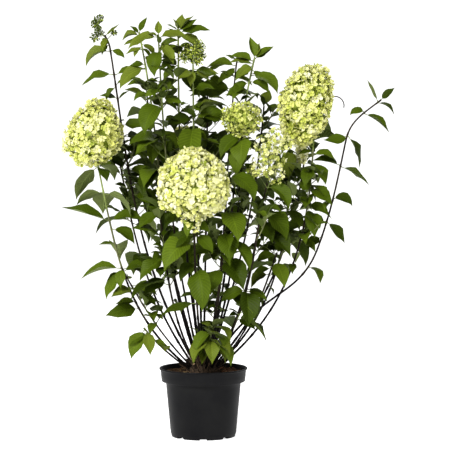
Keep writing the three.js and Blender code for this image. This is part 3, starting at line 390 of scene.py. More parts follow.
# %% The canes
# name, toward, reach, rise, launch, finish, bare share, what else it has, and leaves:
# rise, toward, lift, droop, roll, length
CANES = [
    ("left_bloom", 192, 278, 718, 50, 12, 0.3, {"bloom": "left", "only_placed": True}, [
        (706, 165, -30, 50, 25, 108), (704, 300, 0, 70, 0, 66), (704, 60, 20, 90, 0, 96),
        (640, 165, 0, 50, 30, 84), (636, 350, 0, 80, -30, 100), (636, 95, 10, 90, 0, 110),
        (566, 180, 20, 8, -14, 130), (566, 355, 30, 60, 30, 96), (545, 352, 0, 66, 35, 76),
        (505, 180, 6, 12, -10, 44), (500, 85, 20, 90, 0, 104), (440, 0, 25, 80, 30, 88),
        (430, 190, -10, 40, -10, 56), (355, 180, 0, 12, -40, 56), (337, 186, 0, 22, -45, 92)]),
    ("left_spire", 171, 261, 1046, 28, 34, 0.4, {"bloom": "spire", "rule_below": 780,
        "elbows": [(246, 1012, 9)]}, [
        (1043, 12, 44, 8, 10, 54), (1041, 236, -30, 40, -20, 38), (1006, 350, 2, 62, 40, 46),
        (1004, 185, 6, 76, -30, 82), (943, 178, 8, 54, -25, 94), (942, 0, 22, 24, 25, 88),
        (915, 352, 46, 12, 20, 44), (912, 200, -40, 30, -20, 48), (880, 180, 30, 40, -30, 50),
        (878, 0, 46, 16, 20, 40), (812, 358, 4, 20, 50, 76), (700, 330, 0, 60, 30, 92),
        (630, 320, 10, 60, 30, 98)]),
    ("top_left", 180, 166, 1052, 20, 12, 0.4, {"rule_below": 770}, [
        (1050, 20, 68, 12, 25, 48), (1048, 172, 46, 12, -30, 34), (1044, 185, 18, 70, -25, 50),
        (1030, 178, 10, 50, -30, 48), (1012, 340, -30, 40, 20, 36), (1008, 182, -2, 30, -30, 46),
        (968, 172, 12, 30, -45, 42), (960, 190, -6, 66, -40, 92), (890, 200, 10, 60, -30, 50),
        (700, 235, -10, 70, -20, 104)]),
    ("top_left_front", 212, 134, 1045, 15, 3, 0.4, {"rule_below": 760}, [
        (1042, 95, 82, 6, 0, 40), (1038, 182, 6, 56, -35, 88), (1036, 0, 22, 42, 30, 78),
        (1003, 250, -20, 90, 0, 82), (1000, 20, 60, 20, 10, 38), (985, 340, 10, 40, 25, 46),
        (925, 181, 3, 24, -8, 54), (884, 355, -4, 24, 40, 58), (882, 178, 0, 14, -8, 46),
        (864, 232, -5, 84, -15, 112)]),
    ("top_middle", 163, 68, 1063, 9, 0, 0.42, {"rule_below": 870}, [
        (1057, 70, 60, 8, 0, 54), (1055, 5, 38, 10, 35, 60), (1052, 0, 12, 16, 35, 86),
        (1050, 190, 34, 20, 0, 34), (1046, 178, 12, 34, -12, 46), (1022, 195, -20, 50, -45, 58),
        (1018, 340, 0, 30, 40, 42), (968, 200, -20, 60, -25, 62), (948, 326, -10, 70, 45, 100),
        (906, 186, 10, 44, -35, 66)]),
    ("bud_top", 230, 40, 968, 6, 0, 0.4, {"bloom": "top", "rule_below": 740}, [
        (957, 0, 14, 16, 30, 68), (955, 250, -45, 50, 0, 48), (944, 342, -6, 34, 8, 54),
        (846, 4, 40, 62, 5, 96), (836, 355, 14, 56, 45, 112), (830, 186, 4, 40, -45, 74),
        (812, 262, -28, 60, 0, 144), (806, 335, -36, 40, 20, 64), (770, 352, 8, 30, 5, 72)]),
    ("top_back", 85, 120, 952, 13, 3, 0.42, {"rule_below": 870}, [
        (950, 5, 36, 24, 25, 50), (948, 180, 10, 40, -30, 44), (918, 185, 22, 30, -40, 48),
        (916, 2, 14, 44, 35, 48)]),
    ("top_right", 344, 138, 985, 15, 14, 0.4, {"rule_below": 830}, [
        (983, 118, 70, 8, 0, 64), (981, 8, 42, 16, 35, 62), (976, 178, 28, 32, -30, 66),
        (962, 196, -12, 50, -45, 60), (940, 352, 10, 84, 25, 98), (945, 20, 0, 40, 25, 40),
        (925, 350, -6, 50, 40, 64), (922, 190, -10, 34, -50, 58), (856, 10, 58, 20, 0, 52)]),
    ("top_right_back", 34, 106, 983, 13, 8, 0.46, {"rule_below": 800}, [
        (980, 170, 38, 24, -20, 36), (966, 180, 15, 36, -28, 80), (962, 200, -20, 60, -30, 42),
        (905, 182, 10, 38, -50, 120), (903, 0, 10, 60, 30, 52)]),
    ("middle_bloom", 319, 136, 790, 22, 4, 0.46, {"bloom": "middle", "rule_below": 640}, [
        (786, 200, -8, 72, -45, 90), (782, 300, -18, 70, 20, 100), (780, 262, -38, 66, 0, 108),
        (722, 330, -20, 50, 40, 106), (684, 318, -8, 44, 25, 66)]),
    ("right_bloom", 354, 287, 784, 51, 2, 0.46, {"bloom": "right", "rule_below": 430}, [
        (744, 178, 20, 20, -30, 46), (738, 2, 10, 52, 30, 66), (716, 330, -30, 50, 20, 72),
        (704, 246, -10, 72, -20, 74), (660, 352, -42, 24, 0, 106), (650, 350, -30, 40, 20, 108),
        (604, 352, 4, 56, 40, 64), (600, 300, -40, 50, 0, 88), (552, 200, 0, 60, -30, 80),
        (510, 320, 10, 70, 30, 60), (452, 250, -12, 80, -10, 88), (448, 100, 10, 80, 0, 84)]),
    ("loose_bloom", 326, 199, 671, 37, 15, 0.36, {"bloom": "loose", "rule_below": 540}, [
        (655, 330, 8, 98, 30, 96), (590, 335, -10, 70, 25, 106), (566, 300, -12, 50, 20, 86)]),
    ("front_bloom", 264, 201, 592, 36, 4, 0.4, {"bloom": "front", "only_placed": True}, [
        (585, 235, -30, 60, -10, 62), (572, 340, -10, 50, 30, 52), (538, 345, -18, 50, 45, 68),
        (540, 200, 0, 60, -40, 94), (520, 216, 4, 80, -35, 124), (470, 220, -10, 70, -20, 72),
        (455, 290, -20, 90, 40, 130), (385, 178, 0, 20, -20, 46), (362, 184, -2, 36, -14, 108)]),
    ("right_whip", 357, 460, 878, 30, 52, 0.42, {"only_placed": True,
        "elbows": [(204, 378, 55), (298, 495, 20), (370, 775, 12)]}, [
        (872, 182, 68, 8, 10, 66), (877, 5, 46, 10, 50, 50), (870, 350, 0, 70, 10, 58),
        (845, 188, 44, 110, -45, 46), (843, 355, -22, 30, 15, 84), (788, 182, -38, -56, -50, 74),
        (786, 350, -50, 40, 10, 92), (708, 178, 24, 28, -25, 76), (706, 355, -20, 26, 15, 90),
        (620, 350, 34, 105, 40, 62), (616, 236, 10, 80, 0, 50), (562, 345, -34, 30, 25, 74),
        (560, 170, 24, 50, -40, 60), (522, 205, -10, 50, -50, 54), (425, 330, 10, 120, 10, 66)]),
    ("right_inner", 11, 230, 752, 48, 0, 0.42, {"bloom": "sprig", "rule_below": 470}, [
        (750, 262, -40, 60, 0, 88), (700, 340, -20, 50, 20, 60), (668, 195, 0, 70, -35, 74),
        (640, 350, -10, 60, 30, 84), (590, 300, -10, 60, 0, 84), (560, 10, 0, 60, 30, 84),
        (486, 184, 12, 30, -35, 68)]),
    ("left_low", 201, 225, 449, 47, 30, 0.3, {"only_placed": True}, [
        (446, 188, 8, 44, -10, 112), (446, 262, -30, 80, 0, 58), (438, 20, 30, 50, 20, 62),
        (434, 192, -35, 40, -30, 86), (400, 350, 10, 60, 30, 74), (350, 30, 30, 60, 20, 60),
        (300, 250, 10, 80, 0, 56)]),
    ("low_front", 282, 112, 300, 46, 30, 0.2, {}, [
        (296, 330, 20, 110, 0, 76), (266, 345, 0, 95, 0, 104), (262, 214, 10, 95, 0, 100)]),
    ("right_low", 342, 200, 485, 46, 20, 0.42, {"only_placed": True}, [
        (483, 60, 40, 40, 20, 62), (480, 200, 10, 60, -30, 60), (462, 300, -20, 60, 10, 88),
        (430, 200, -10, 50, -30, 64), (425, 20, 20, 60, 20, 60)]),
    ("left_foot", 207, 171, 292, 54, 42, 0.3, {}, [
        (289, 192, -50, 30, -65, 86), (286, 300, -55, 30, 10, 68)]),
    ("front_leafy", 290, 181, 685, 30, 6, 0.32, {"rule_below": 390}, [
        (682, 316, 14, 104, 25, 130), (598, 275, 0, 85, 0, 122), (548, 285, -25, 60, 0, 98),
        (520, 320, 0, 80, 0, 122), (500, 186, 8, 44, -45, 92), (470, 330, -10, 60, 30, 112),
        (450, 240, -20, 60, -10, 88)]),
    ("right_front", 309, 233, 600, 45, 12, 0.32, {}, [
        (395, 190, 0, 50, -40, 74), (392, 355, 0, 50, 35, 64), (345, 0, 10, 30, 40, 50)]),
    ("front_left", 232, 178, 600, 38, 10, 0.36, {}, [
        (585, 205, 0, 60, -35, 70), (470, 205, -5, 60, -35, 92), (420, 200, 0, 60, -35, 82)]),
    ("back_bloom", 100, 262, 640, 45, 6, 0.42, {"bloom": "back"}, []),
    ("back_left", 128, 250, 900, 28, 8, 0.4, {}, []),
    ("back_right", 52, 262, 860, 30, 8, 0.4, {}, []),
    ("back_far_left", 141, 300, 745, 45, 14, 0.42, {}, []),
    ("back_far_right", 29, 320, 884, 46, 2, 0.46, {"rule_below": 780, "withered": {"rise": 860, "toward": 350,
        "lift": 22, "curl": 125, "length": 120}}, [
        (882, 350, 56, 10, 0, 92), (880, 130, 84, 6, 0, 96), (838, 350, 0, 40, 20, 66)]),
    ("back_low", 75, 205, 470, 50, 22, 0.35, {}, []),
]
ROW = "name toward reach rise launch finish bare".split()
canes = [dict(zip(ROW, row), **more, leaves=leaves) for *row, more, leaves in CANES]
print("canes:", len(canes))

# %% [markdown]
# ## The growing rule
#
# Chance has to be repeatable, or each render would show another plant. So a small
# generator with a seed gives the numbers, and each cane has a seed of its own. The
# helpers below place points and directions by compass angle, reach and lean.

# %% Chance and directions
BITS = 0xFFFFFFFF


def seeded(seed):
    state = seed & BITS

    def draw():
        nonlocal state
        state = (state + 0x6D2B79F5) & BITS
        mixed = ((state ^ (state >> 15)) * (1 | state)) & BITS
        mixed = ((mixed + (((mixed ^ (mixed >> 7)) * (61 | mixed)) & BITS)) & BITS) ^ mixed
        return (mixed ^ (mixed >> 14)) / 4294967296

    return draw


def between(draw, low, high):
    return low + (high - low) * draw()


def spread(draw, size):
    return between(draw, -size, size)


def smooth(x):
    t = min(max(x, 0.0), 1.0)
    return t * t * (3 - 2 * t)


def blend(low, high, share):
    return low + (high - low) * share


def leaning(lean, toward):
    out, turn = math.sin(math.radians(lean)), math.radians(toward)
    return np.array([out * math.cos(turn), out * math.sin(turn), math.cos(math.radians(lean))])


def placed(toward, reach, rise):
    turn = math.radians(toward)
    return np.array([reach * math.cos(turn), reach * math.sin(turn), float(rise)])


def unit(v):
    return v / np.linalg.norm(v)


def degrees_between(a, b):
    return math.degrees(math.acos(max(-1.0, min(1.0, float(a @ b)))))


# %% Paths of the canes


class Path:
    """A line of points, with the distance along it to each."""

    def __init__(self, points):
        self.points = np.array(points)
        runs = np.linalg.norm(np.diff(self.points, axis=0), axis=1)
        self.lengths = np.concatenate([[0.0], np.cumsum(runs)])
        self.total = self.lengths[-1]

    def at(self, distance):
        return np.array([np.interp(distance, self.lengths, self.points[:, k]) for k in range(3)])

    def along(self, distance):
        return unit(self.at(distance + 2) - self.at(distance - 2))

    def to_height(self, height):
        i = max(int(np.argmax(self.points[:, 2] >= height)), 1)
        low, high = self.points[i - 1, 2], self.points[i, 2]
        return blend(self.lengths[i - 1], self.lengths[i], (height - low) / (high - low))


def stations(start, end, spacing):
    steps = max(int((end - start) / spacing + 0.5), 1)
    return [blend(start, end, i / steps) for i in range(steps + 1)]


def curve_through(start, start_along, end, end_along):
    pull = CANE["pull"] * np.linalg.norm(end - start)
    a, b = start + start_along * pull, end - end_along * pull
    shares = np.linspace(0, 1, CANE["steps"] + 1)[:, None]
    rest = 1 - shares
    return rest**3 * start + 3 * rest**2 * shares * a + 3 * rest * shares**2 * b + shares**3 * end


def cane_path(cane):
    points = [STOOL["centre"] + cane["start"] * (STOOL["radius"] + GAP)]
    along = cane["start"]
    for reach, rise, lean in [*cane.get("elbows", []), (cane["reach"], cane["rise"], cane["finish"])]:
        to_along = leaning(lean, cane["toward"])
        curve = curve_through(points[-1], along, placed(cane["toward"], reach, rise), to_along)
        points.extend(curve[1:])
        along = to_along
    return Path(points)


# %% [markdown]
# Many canes start on one small stool, so their feet would run into each other. Each
# foot starts on the side of its tip, and then feet that are too close push one
# another apart, round after round, as growing shoots do.

# %% Where the canes start


def spread_starts(canes):
    lowest = CANE["lowest_start"]
    starts = [leaning(min(cane["launch"], lowest), cane["toward"]) for cane in canes]
    for _ in range(CANE["rounds"]):
        moved = False
        for i in range(len(starts)):
            for k in range(i + 1, len(starts)):
                lacking = CANE["apart"] - degrees_between(starts[i], starts[k])
                if lacking > 0:
                    push = unit(starts[i] - starts[k]) * (math.radians(lacking) * CANE["push"])
                    starts[i] = unit(starts[i] + push)
                    starts[k] = unit(starts[k] - push)
                    moved = True
            if degrees_between(starts[i], UP) > lowest:
                toward = math.degrees(math.atan2(starts[i][1], starts[i][0]))
                starts[i] = leaning(lowest, toward)
        if not moved:
            break
    return starts


def bloom_centre(cane):
    bloom = cane["head"]
    away = bloom.get("stalk", bloom["half"] * HEAD["raised"])
    return cane["tip"] + leaning(bloom["tilt"], cane["toward"]) * away


def cane_radius(cane, at):
    return blend(cane["foot"], CANE["tip"], at / cane["path"].total)


for cane, start in zip(canes, spread_starts(canes)):
    cane["start"], cane["tip"] = start, placed(cane["toward"], cane["reach"], cane["rise"])
    cane["foot"] = CANE["foot"] if cane["rise"] > CANE["short_below"] else CANE["short_foot"]
    cane["path"] = cane_path(cane)
    cane["leaf_from"] = cane["path"].total * cane["bare"]
headed = [cane for cane in canes if "bloom" in cane]
for cane in headed:
    cane["head"] = BLOOMS[cane["bloom"]]
    cane["bloom_centre"] = bloom_centre(cane)
print("longest cane:", round(max(cane["path"].total for cane in canes)), "mm")

# %% [markdown]
# ### Room for each leaf
#
# A leaf only grows where it has room: nearer to its own stem, or to the leaves placed
# on that, than to any other's, and clear of limbs, flower heads and the pot. One that
# doesn't fit is turned, raised or made smaller, and skipped if nothing helps. The test
# looks at points of its rim and at the six triangles of a plain folded blade.

# %% The midrib and the plain blade


def leaf_axes(leaf, share, extra_roll=0.0):
    """The midrib's point at a share of the leaf, with the ways across and out of the blade."""
    flat = leaning(90, leaf["toward"])
    flat[2] = 0.0
    across = np.array([-flat[1], flat[0], 0.0])
    lift, droop = math.radians(leaf["lift"]), math.radians(leaf["droop"])
    roll = math.radians(leaf["roll"] + extra_roll)
    now = lift - droop * share
    rib = (leaf["root"] + flat * (leaf["length"] * (math.sin(lift) - math.sin(now)) / droop)
           + UP * (leaf["length"] * (math.cos(now) - math.cos(lift)) / droop))
    face = flat * -math.sin(now) + UP * math.cos(now)
    side = across * math.cos(roll) + face * math.sin(roll)
    return rib, side, face * math.cos(roll) - across * math.sin(roll)


def blade_points(leaf):
    half = leaf["length"] * LEAF["width"] / 2
    fold = math.radians(LEAF["fold"])
    lower, middle, upper = LEAF["shares"]

    def edge(share, width, hand):
        rib, side, face = leaf_axes(leaf, share)
        return rib + side * (hand * width * math.cos(fold)) + face * (width * math.sin(fold))

    rim = [edge(lower, half, 1), edge(upper, half * LEAF["waist"], 1), leaf_axes(leaf, 1)[0],
           edge(upper, half * LEAF["waist"], -1), edge(lower, half, -1)]
    return np.array(rim), leaf_axes(leaf, middle)[0]


def placed_leaves(cane, line):
    """The leaves that are placed one by one on a cane, rooted on a line of points."""
    names = "rise toward lift droop roll length".split()
    rows = [dict(zip(names, row)) for row in cane["leaves"]]
    return [dict(row, root=line.at(line.to_height(row["rise"]))) for row in rows]


def span_of(leaf):
    """The points that stand for all of a leaf."""
    rim, middle = blade_points(leaf)
    ribs = [leaf_axes(leaf, share)[0] for share in CLEAR["rib_samples"]]
    return np.vstack([middle, *ribs, rim, (rim[1:] + rim[:-1]) / 2])


# %% The space of each mass


class Space:
    """What is taken: stems with their leaves, limbs, flower heads and the pot."""

    def __init__(self):
        stems, owners, limbs = [], [], []
        for owner, cane in enumerate(canes):
            path = cane["path"]
            points = [path.at(d) for d in stations(cane["leaf_from"], path.total, CLEAR["stem_samples"])]
            points += [point for leaf in placed_leaves(cane, path) for point in span_of(leaf)]
            points += [cane["bloom_centre"]] if "bloom" in cane else []
            owners += [len(stems)]
            stems += points
            for d in stations(0, path.total, CLEAR["limb_samples"]):
                limbs.append((*path.at(d), owner, d, cane_radius(cane, d)))
        self.stems, self.first = np.array(stems), np.array(owners)
        self.limbs = np.array(limbs)
        self.bloom_at = np.array([cane["bloom_centre"] for cane in headed])
        sizes = [(cane["head"]["radius"], cane["head"]["radius"], cane["head"]["half"]) for cane in headed]
        self.bloom_size = np.array(sizes) + CLEAR["bloom"]

    def holds(self, points, owner):
        """True for each point in the owner's space and outside the flower heads and the pot."""
        over_pot = np.hypot(points[:, 0], points[:, 1]) < POT["lip"] + CLEAR["pot"]
        clear = ~(over_pot & (points[:, 2] < POT["height"] + CLEAR["pot"]))
        apart = (points[:, None] - self.bloom_at) / self.bloom_size
        clear &= (np.linalg.norm(apart, axis=2) >= 1).all(axis=1)
        far = np.linalg.norm(points[:, None] - self.stems, axis=2)
        nearest = np.minimum.reduceat(far, self.first, axis=1)
        own = nearest[:, owner] + 2 * CLEAR["border"]
        nearest[:, owner] = np.inf
        return clear & (nearest.min(axis=1) > own)

    def clear_of_limbs(self, triangles, owner, root_at):
        """True where no limb runs through or beside any of the triangles."""
        centre = triangles.reshape(-1, 3).mean(axis=0)
        reach = np.linalg.norm(triangles.reshape(-1, 3) - centre, axis=1).max() + CANE["foot"] + CLEAR["limb"]
        limbs = self.limbs[((self.limbs[:, :3] - centre) ** 2).sum(axis=1) < reach * reach]
        limbs = limbs[(limbs[:, 3] != owner) | (np.abs(limbs[:, 4] - root_at) >= CLEAR["own_limb"])]
        if not len(limbs):
            return True
        return bool((distance_to(triangles, limbs[:, :3]) > limbs[:, 5] + CLEAR["limb"]).all())


def distance_to(triangles, points):
    """The distance from each point to each triangle, in rows of triangles."""
    a, b, c = (triangles[:, None, k] for k in range(3))
    p = points[None]
    best = np.full((len(triangles), len(points)), np.inf)
    for start, end in ((a, b), (b, c), (c, a)):
        run = end - start
        share = np.clip(((p - start) * run).sum(2) / (run * run).sum(2), 0, 1)
        best = np.minimum(best, np.linalg.norm(p - start - run * share[..., None], axis=2))
    normal = np.cross(b - a, c - a)
    size = np.linalg.norm(normal, axis=2)
    above = np.abs(((p - a) * normal).sum(2)) / size
    inside = np.ones(best.shape, bool)
    for start, end in ((a, b), (b, c), (c, a)):
        inside &= (np.cross(end - start, p - start) * normal).sum(2) >= 0
    return np.where(inside, above, best)


space = Space()
print("stem samples:", len(space.stems), "limb samples:", len(space.limbs))

# %% Finding room


def leaf_fits(leaf, owner, root_at):
    if not space.holds(span_of(leaf), owner).all():
        return False
    rim, middle = blade_points(leaf)
    ring = np.vstack([leaf["root"], rim, leaf["root"]])
    triangles = np.array([(middle, ring[i], ring[i + 1]) for i in range(len(ring) - 1)])
    return space.clear_of_limbs(triangles, owner, root_at)


def fitted(leaf, owner, root_at, shortest=FIT["shortest"]):
    for size in FIT["sizes"]:
        for lift in FIT["raises"]:
            for turn in FIT["turns"]:
                tried = dict(leaf, toward=leaf["toward"] + turn, lift=leaf["lift"] + lift,
                             length=leaf["length"] * size)
                if tried["length"] >= shortest and leaf_fits(tried, owner, root_at):
                    return tried
    return None


def leaf_pair(root, along, toward, back, full, draw):
    """A pair of opposite leaves at a distance back from the tip of a stem or twig."""
    grown = smooth(back / LEAF["grow_over"])
    pair = []
    for turn, gap in ((0, LEAF["root_gap"]), (180, -LEAF["root_gap"])):
        rising = blend(*LEAF["lift"], smooth(back / LEAF["lift_over"]))
        pair.append({
            "root": root + along * gap,
            "toward": toward + turn + spread(draw, LEAF["turn_spread"]),
            "lift": rising + spread(draw, LEAF["lift_spread"]),
            "droop": blend(*LEAF["droop"], grown) + spread(draw, LEAF["droop_spread"]),
            "roll": spread(draw, LEAF["roll"]),
            "length": full * blend(LEAF["youngest"], 1, grown) * between(draw, *LEAF["size_spread"]),
            "back": back,
        })
    return pair


# %% [markdown]
# Each mass grows on from its limb. The leaves that the photo shows singly come first,
# then crossed pairs from the tip down, with one side twig on each stem. So far this
# is the rule of the solids.

# %% Growing the masses


def grow_twig(root, toward, draw):
    length = TWIG["length"] * between(draw, *TWIG["length_spread"])
    along = leaning(90 - TWIG["lift"] - spread(draw, TWIG["lift_spread"]), toward)
    leaves, full = [], LEAF["full"] * TWIG["leaf"]
    for share, back, turn in TWIG["pairs"]:
        leaves += leaf_pair(root + along * (length * share), along, toward + turn, back, full, draw)
    ends = [root, root + along * length]
    return {"points": ends, "radii": (TWIG["foot"], TWIG["tip"]), "leaves": leaves}


def twig_clear(start, end, owner, root_at):
    """True where a twig stays in its own space and runs clear of the limbs."""
    if not space.holds(np.array([blend(start, end, 0.5), end]), owner).all():
        return False
    narrow = np.array([[start, end + UP * TWIG["foot"], end - UP * TWIG["foot"]]])
    return space.clear_of_limbs(narrow, owner, root_at)


def grow_mass(cane, owner):
    path, leaf_from = cane["path"], cane["leaf_from"]
    draw = seeded(NODE["seed"] + owner)
    step = CANE["bent_stem_step"] if "elbows" in cane else CANE["stem_step"]
    stem = Path([path.at(d) for d in stations(leaf_from + GAP, path.total, step)])
    grown = {"leaves": [], "twigs": [], "nodes": []}

    def keep(leaf, root_at):
        found = fitted(leaf, owner, root_at)
        if found:
            grown["leaves"].append(found)

    for leaf in placed_leaves(cane, stem):
        root_at = path.to_height(leaf["rise"])
        keep(dict(leaf, back=path.total - root_at), root_at)
        grown["nodes"].append((root_at, leaf["toward"]))
    back, older = (NODE["below_bloom"], NODE["bloom_age"]) if "bloom" in cane else (NODE["below_tip"], 0)
    if "rule_below" in cane:
        back = path.total - path.to_height(cane["rule_below"])
    turn = between(draw, 0, 180)
    lowest = 0 if cane.get("only_placed") else path.total - leaf_from - NODE["above_foot"]
    node = 0
    while back < lowest:
        at = path.total - back
        root = stem.at(stem.total - back)
        for leaf in leaf_pair(root, path.along(at), turn, back + older, LEAF["full"], draw):
            keep(leaf, at)
        grown["nodes"].append((at, turn))
        if node == TWIG["at_node"]:
            twig = grow_twig(root, turn + 90, draw)
            if twig_clear(*twig["points"], owner, at):
                grown["twigs"].append(twig)
                for leaf in twig["leaves"]:
                    keep(leaf, at)
        gap = min(NODE["first_gap"] + NODE["gap_step"] * node, NODE["longest_gap"])
        back += gap * between(draw, *NODE["gap_spread"])
        turn += 90 + spread(draw, NODE["turn_spread"])
        node += 1
    return grown


masses = [grow_mass(cane, owner) for owner, cane in enumerate(canes)]
print("leaves of the rule:", sum(len(mass["leaves"]) for mass in masses))

# %% [markdown]
# The solids stop there, to keep their faces few. The real shrub is denser, so three
# finer kinds of growth follow, all inside the reach of the mass that they belong to:
# the close young leaves of the tips and the foot, short shoots with small leaves in
# the axils of the larger ones, and smaller pairs that stand crossed between the
# placed ones.

# %% Sizes of the finer growth
SHOOT = {"seed": 2000, "length": (34, 78), "lift": (25, 60), "turn": 40, "leaf": 0.64, "radius": (1.3, 0.8),
         "skip": 0.12, "least_leaf": 22, "cross_leaf": 0.78, "cross_at": 0.45, "age": 60, "highest": 950,
         "least_back": 90}
CROSS = {"seed": 2500, "leaf": 0.60, "near": 24, "widest": 95, "turn": 32}
REACH = np.array([8, 8, 0])  # how far a leaf may stand out of its mass's box: aside, aside, above
SPARSE_CANES = ("left_bloom", "front_bloom", "right_whip")
BARE_TOPS = {"left_spire": 760, "top_left": 800}  # canes whose upper shoots the photo shows bare
YOUNG_LEAVES = {  # the close young leaves of the tips and the foot: rise, toward, lift, droop, roll, length
    "left_spire": [(1036, 250, -20, 60, 0, 44), (1022, 200, -40, 30, -30, 36)],
    "top_left": [(1022, 355, -20, 40, 35, 48), (1016, 215, -30, 40, -20, 38), (990, 350, -10, 40, 30, 40),
                 (800, 330, 0, 50, 30, 90)],
    "top_left_front": [(1018, 342, -25, 55, 40, 66), (1040, 190, 30, 30, -30, 32), (975, 10, -20, 40, 30, 44),
                       (905, 200, 0, 50, -40, 50), (780, 230, -20, 60, -10, 104), (740, 290, -20, 60, 10, 90)],
    "top_middle": [(1058, 172, 70, 8, 0, 34), (1058, 200, 34, 20, -20, 36), (1056, 8, 48, 8, 10, 60),
                   (1044, 350, -14, 40, 45, 74), (1006, 10, -20, 50, 40, 56), (985, 190, -10, 50, -40, 60)],
    "bud_top": [(950, 190, 20, 40, -30, 58), (946, 8, 14, 30, 45, 68), (905, 10, 20, 40, 40, 64)],
    "top_right": [(984, 62, 60, 10, 0, 50), (982, 345, 40, 20, 20, 60), (978, 188, 8, 24, -30, 66),
                  (966, 214, -20, 30, -50, 58), (955, 352, -30, 40, 40, 48), (900, 185, -10, 50, -50, 64)],
    "top_right_back": [(975, 8, 10, 30, 30, 44), (950, 185, -10, 50, -40, 62), (935, 10, 0, 50, 30, 54)],
    "top_back": [(940, 200, 0, 60, -40, 54), (936, 340, 0, 60, 40, 54)],
    "left_foot": [(280, 215, -20, 30, -30, 60), (262, 20, 0, 40, 30, 44)],
    "left_low": [(392, 195, 0, 30, -30, 70), (372, 340, 0, 50, 30, 58)],
    "right_low": [(448, 210, 0, 40, -30, 74), (405, 10, 0, 50, 30, 66)],
    "right_inner": [(735, 20, -10, 50, 30, 64), (722, 195, -10, 50, -30, 66), (655, 200, 0, 50, -30, 70)],
    "front_left": [(368, 20, 0, 50, 40, 60)],
    "front_leafy": [(350, 200, 0, 50, -30, 62), (346, 10, 0, 50, 30, 62)],
    "right_front": [(330, 200, 0, 50, -40, 58), (318, 330, 0, 50, 30, 62)],
    "back_left": [(790, 335, 15, 50, 30, 104), (765, 330, 5, 50, 30, 96), (742, 340, 0, 50, 30, 90),
                  (778, 300, 0, 50, 10, 90), (752, 305, -10, 50, 10, 84)],
    "back_far_right": [(712, 200, 10, 50, -30, 100), (690, 190, 0, 50, -30, 90)],
    "low_front": [(284, 200, -10, 70, -20, 76), (284, 20, -10, 70, 20, 76), (270, 275, -20, 70, 0, 84),
                  (250, 5, -20, 60, 20, 66), (246, 185, -10, 70, -20, 66), (230, 250, -20, 60, 0, 62)],
}

# %% Finer growth
mass_boxes = [np.array(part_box(f"foliage_{cane['name']}")) / MM for cane in canes]


def add_leaf(mass, leaf, owner, at):
    """Add a small leaf if it finds room within reach of the solid that its mass stands for."""
    found = fitted(leaf, owner, at, SHOOT["least_leaf"])
    if not found:
        return False
    low, high = mass_boxes[owner]
    rim, _ = blade_points(found)
    if (rim > low - REACH).all() and (rim < high + REACH).all():
        mass["leaves"].append(found)
        return True
    return False


def grow_young(cane, owner, mass):
    """The young leaves that the table above adds."""
    path = cane["path"]
    for leaf in placed_leaves({"leaves": YOUNG_LEAVES.get(cane["name"], [])}, path):
        at = path.to_height(leaf["rise"])
        add_leaf(mass, dict(leaf, back=path.total - at), owner, at)


def grow_shoots(cane, owner, mass):
    """Short side shoots with a few small leaves, in the axils of the larger leaves."""
    draw, path, full = seeded(SHOOT["seed"] + owner), cane["path"], LEAF["full"] * SHOOT["leaf"]
    highest = BARE_TOPS.get(cane["name"], SHOOT["highest"])
    for at, turn in mass["nodes"]:
        root = path.at(at)
        if root[2] > highest or path.total - at < SHOOT["least_back"]:
            continue
        for hand in (0, 180):
            toward = turn + hand + spread(draw, SHOOT["turn"])
            length = between(draw, *SHOOT["length"])
            along = leaning(90 - between(draw, *SHOOT["lift"]), toward)
            skipped = draw() < SHOOT["skip"]
            end, half_way = root + along * length, root + along * (length * SHOOT["cross_at"])
            leaves = leaf_pair(end, along, toward + 8, SHOOT["age"], full, draw)
            leaves += leaf_pair(half_way, along, toward + 90, SHOOT["age"], full * SHOOT["cross_leaf"], draw)
            if skipped or not twig_clear(root, end, owner, at):
                continue
            if any([add_leaf(mass, leaf, owner, at) for leaf in leaves]):
                mass["twigs"].append({"points": [root, end], "radii": SHOOT["radius"]})


def grow_crossed(cane, owner, mass):
    """Smaller pairs between the placed ones, turned across them as on the real shoot."""
    draw, path = seeded(CROSS["seed"] + owner), cane["path"]
    heights = sorted(path.to_height(row[0]) for row in cane["leaves"])
    for low, high in zip(heights, heights[1:]):
        if not CROSS["near"] < high - low < CROSS["widest"]:
            continue
        at = blend(low, high, 0.5)
        turn = 90 + spread(draw, CROSS["turn"])
        full = LEAF["full"] * CROSS["leaf"]
        for leaf in leaf_pair(path.at(at), path.along(at), turn, path.total - at, full, draw):
            add_leaf(mass, leaf, owner, at)


for owner, (cane, mass) in enumerate(zip(canes, masses)):
    grow_young(cane, owner, mass)
    if cane["name"] not in SPARSE_CANES:
        grow_shoots(cane, owner, mass)
        if cane["name"] not in BARE_TOPS:
            grow_crossed(cane, owner, mass)
print("leaves with the finer growth:", sum(len(mass["leaves"]) for mass in masses))

# %% [markdown]
# ## Meshes from arrays
#
# A thousand leaves as a thousand objects would be slow. We collect all points and
# faces of one kind and make one mesh from them, with a material number for each
# face. The helper also gives the mesh its material slots and its leaf map.

# %% Joining parts into one piece
SHARP = 52  # degrees between two faces at a sharp edge


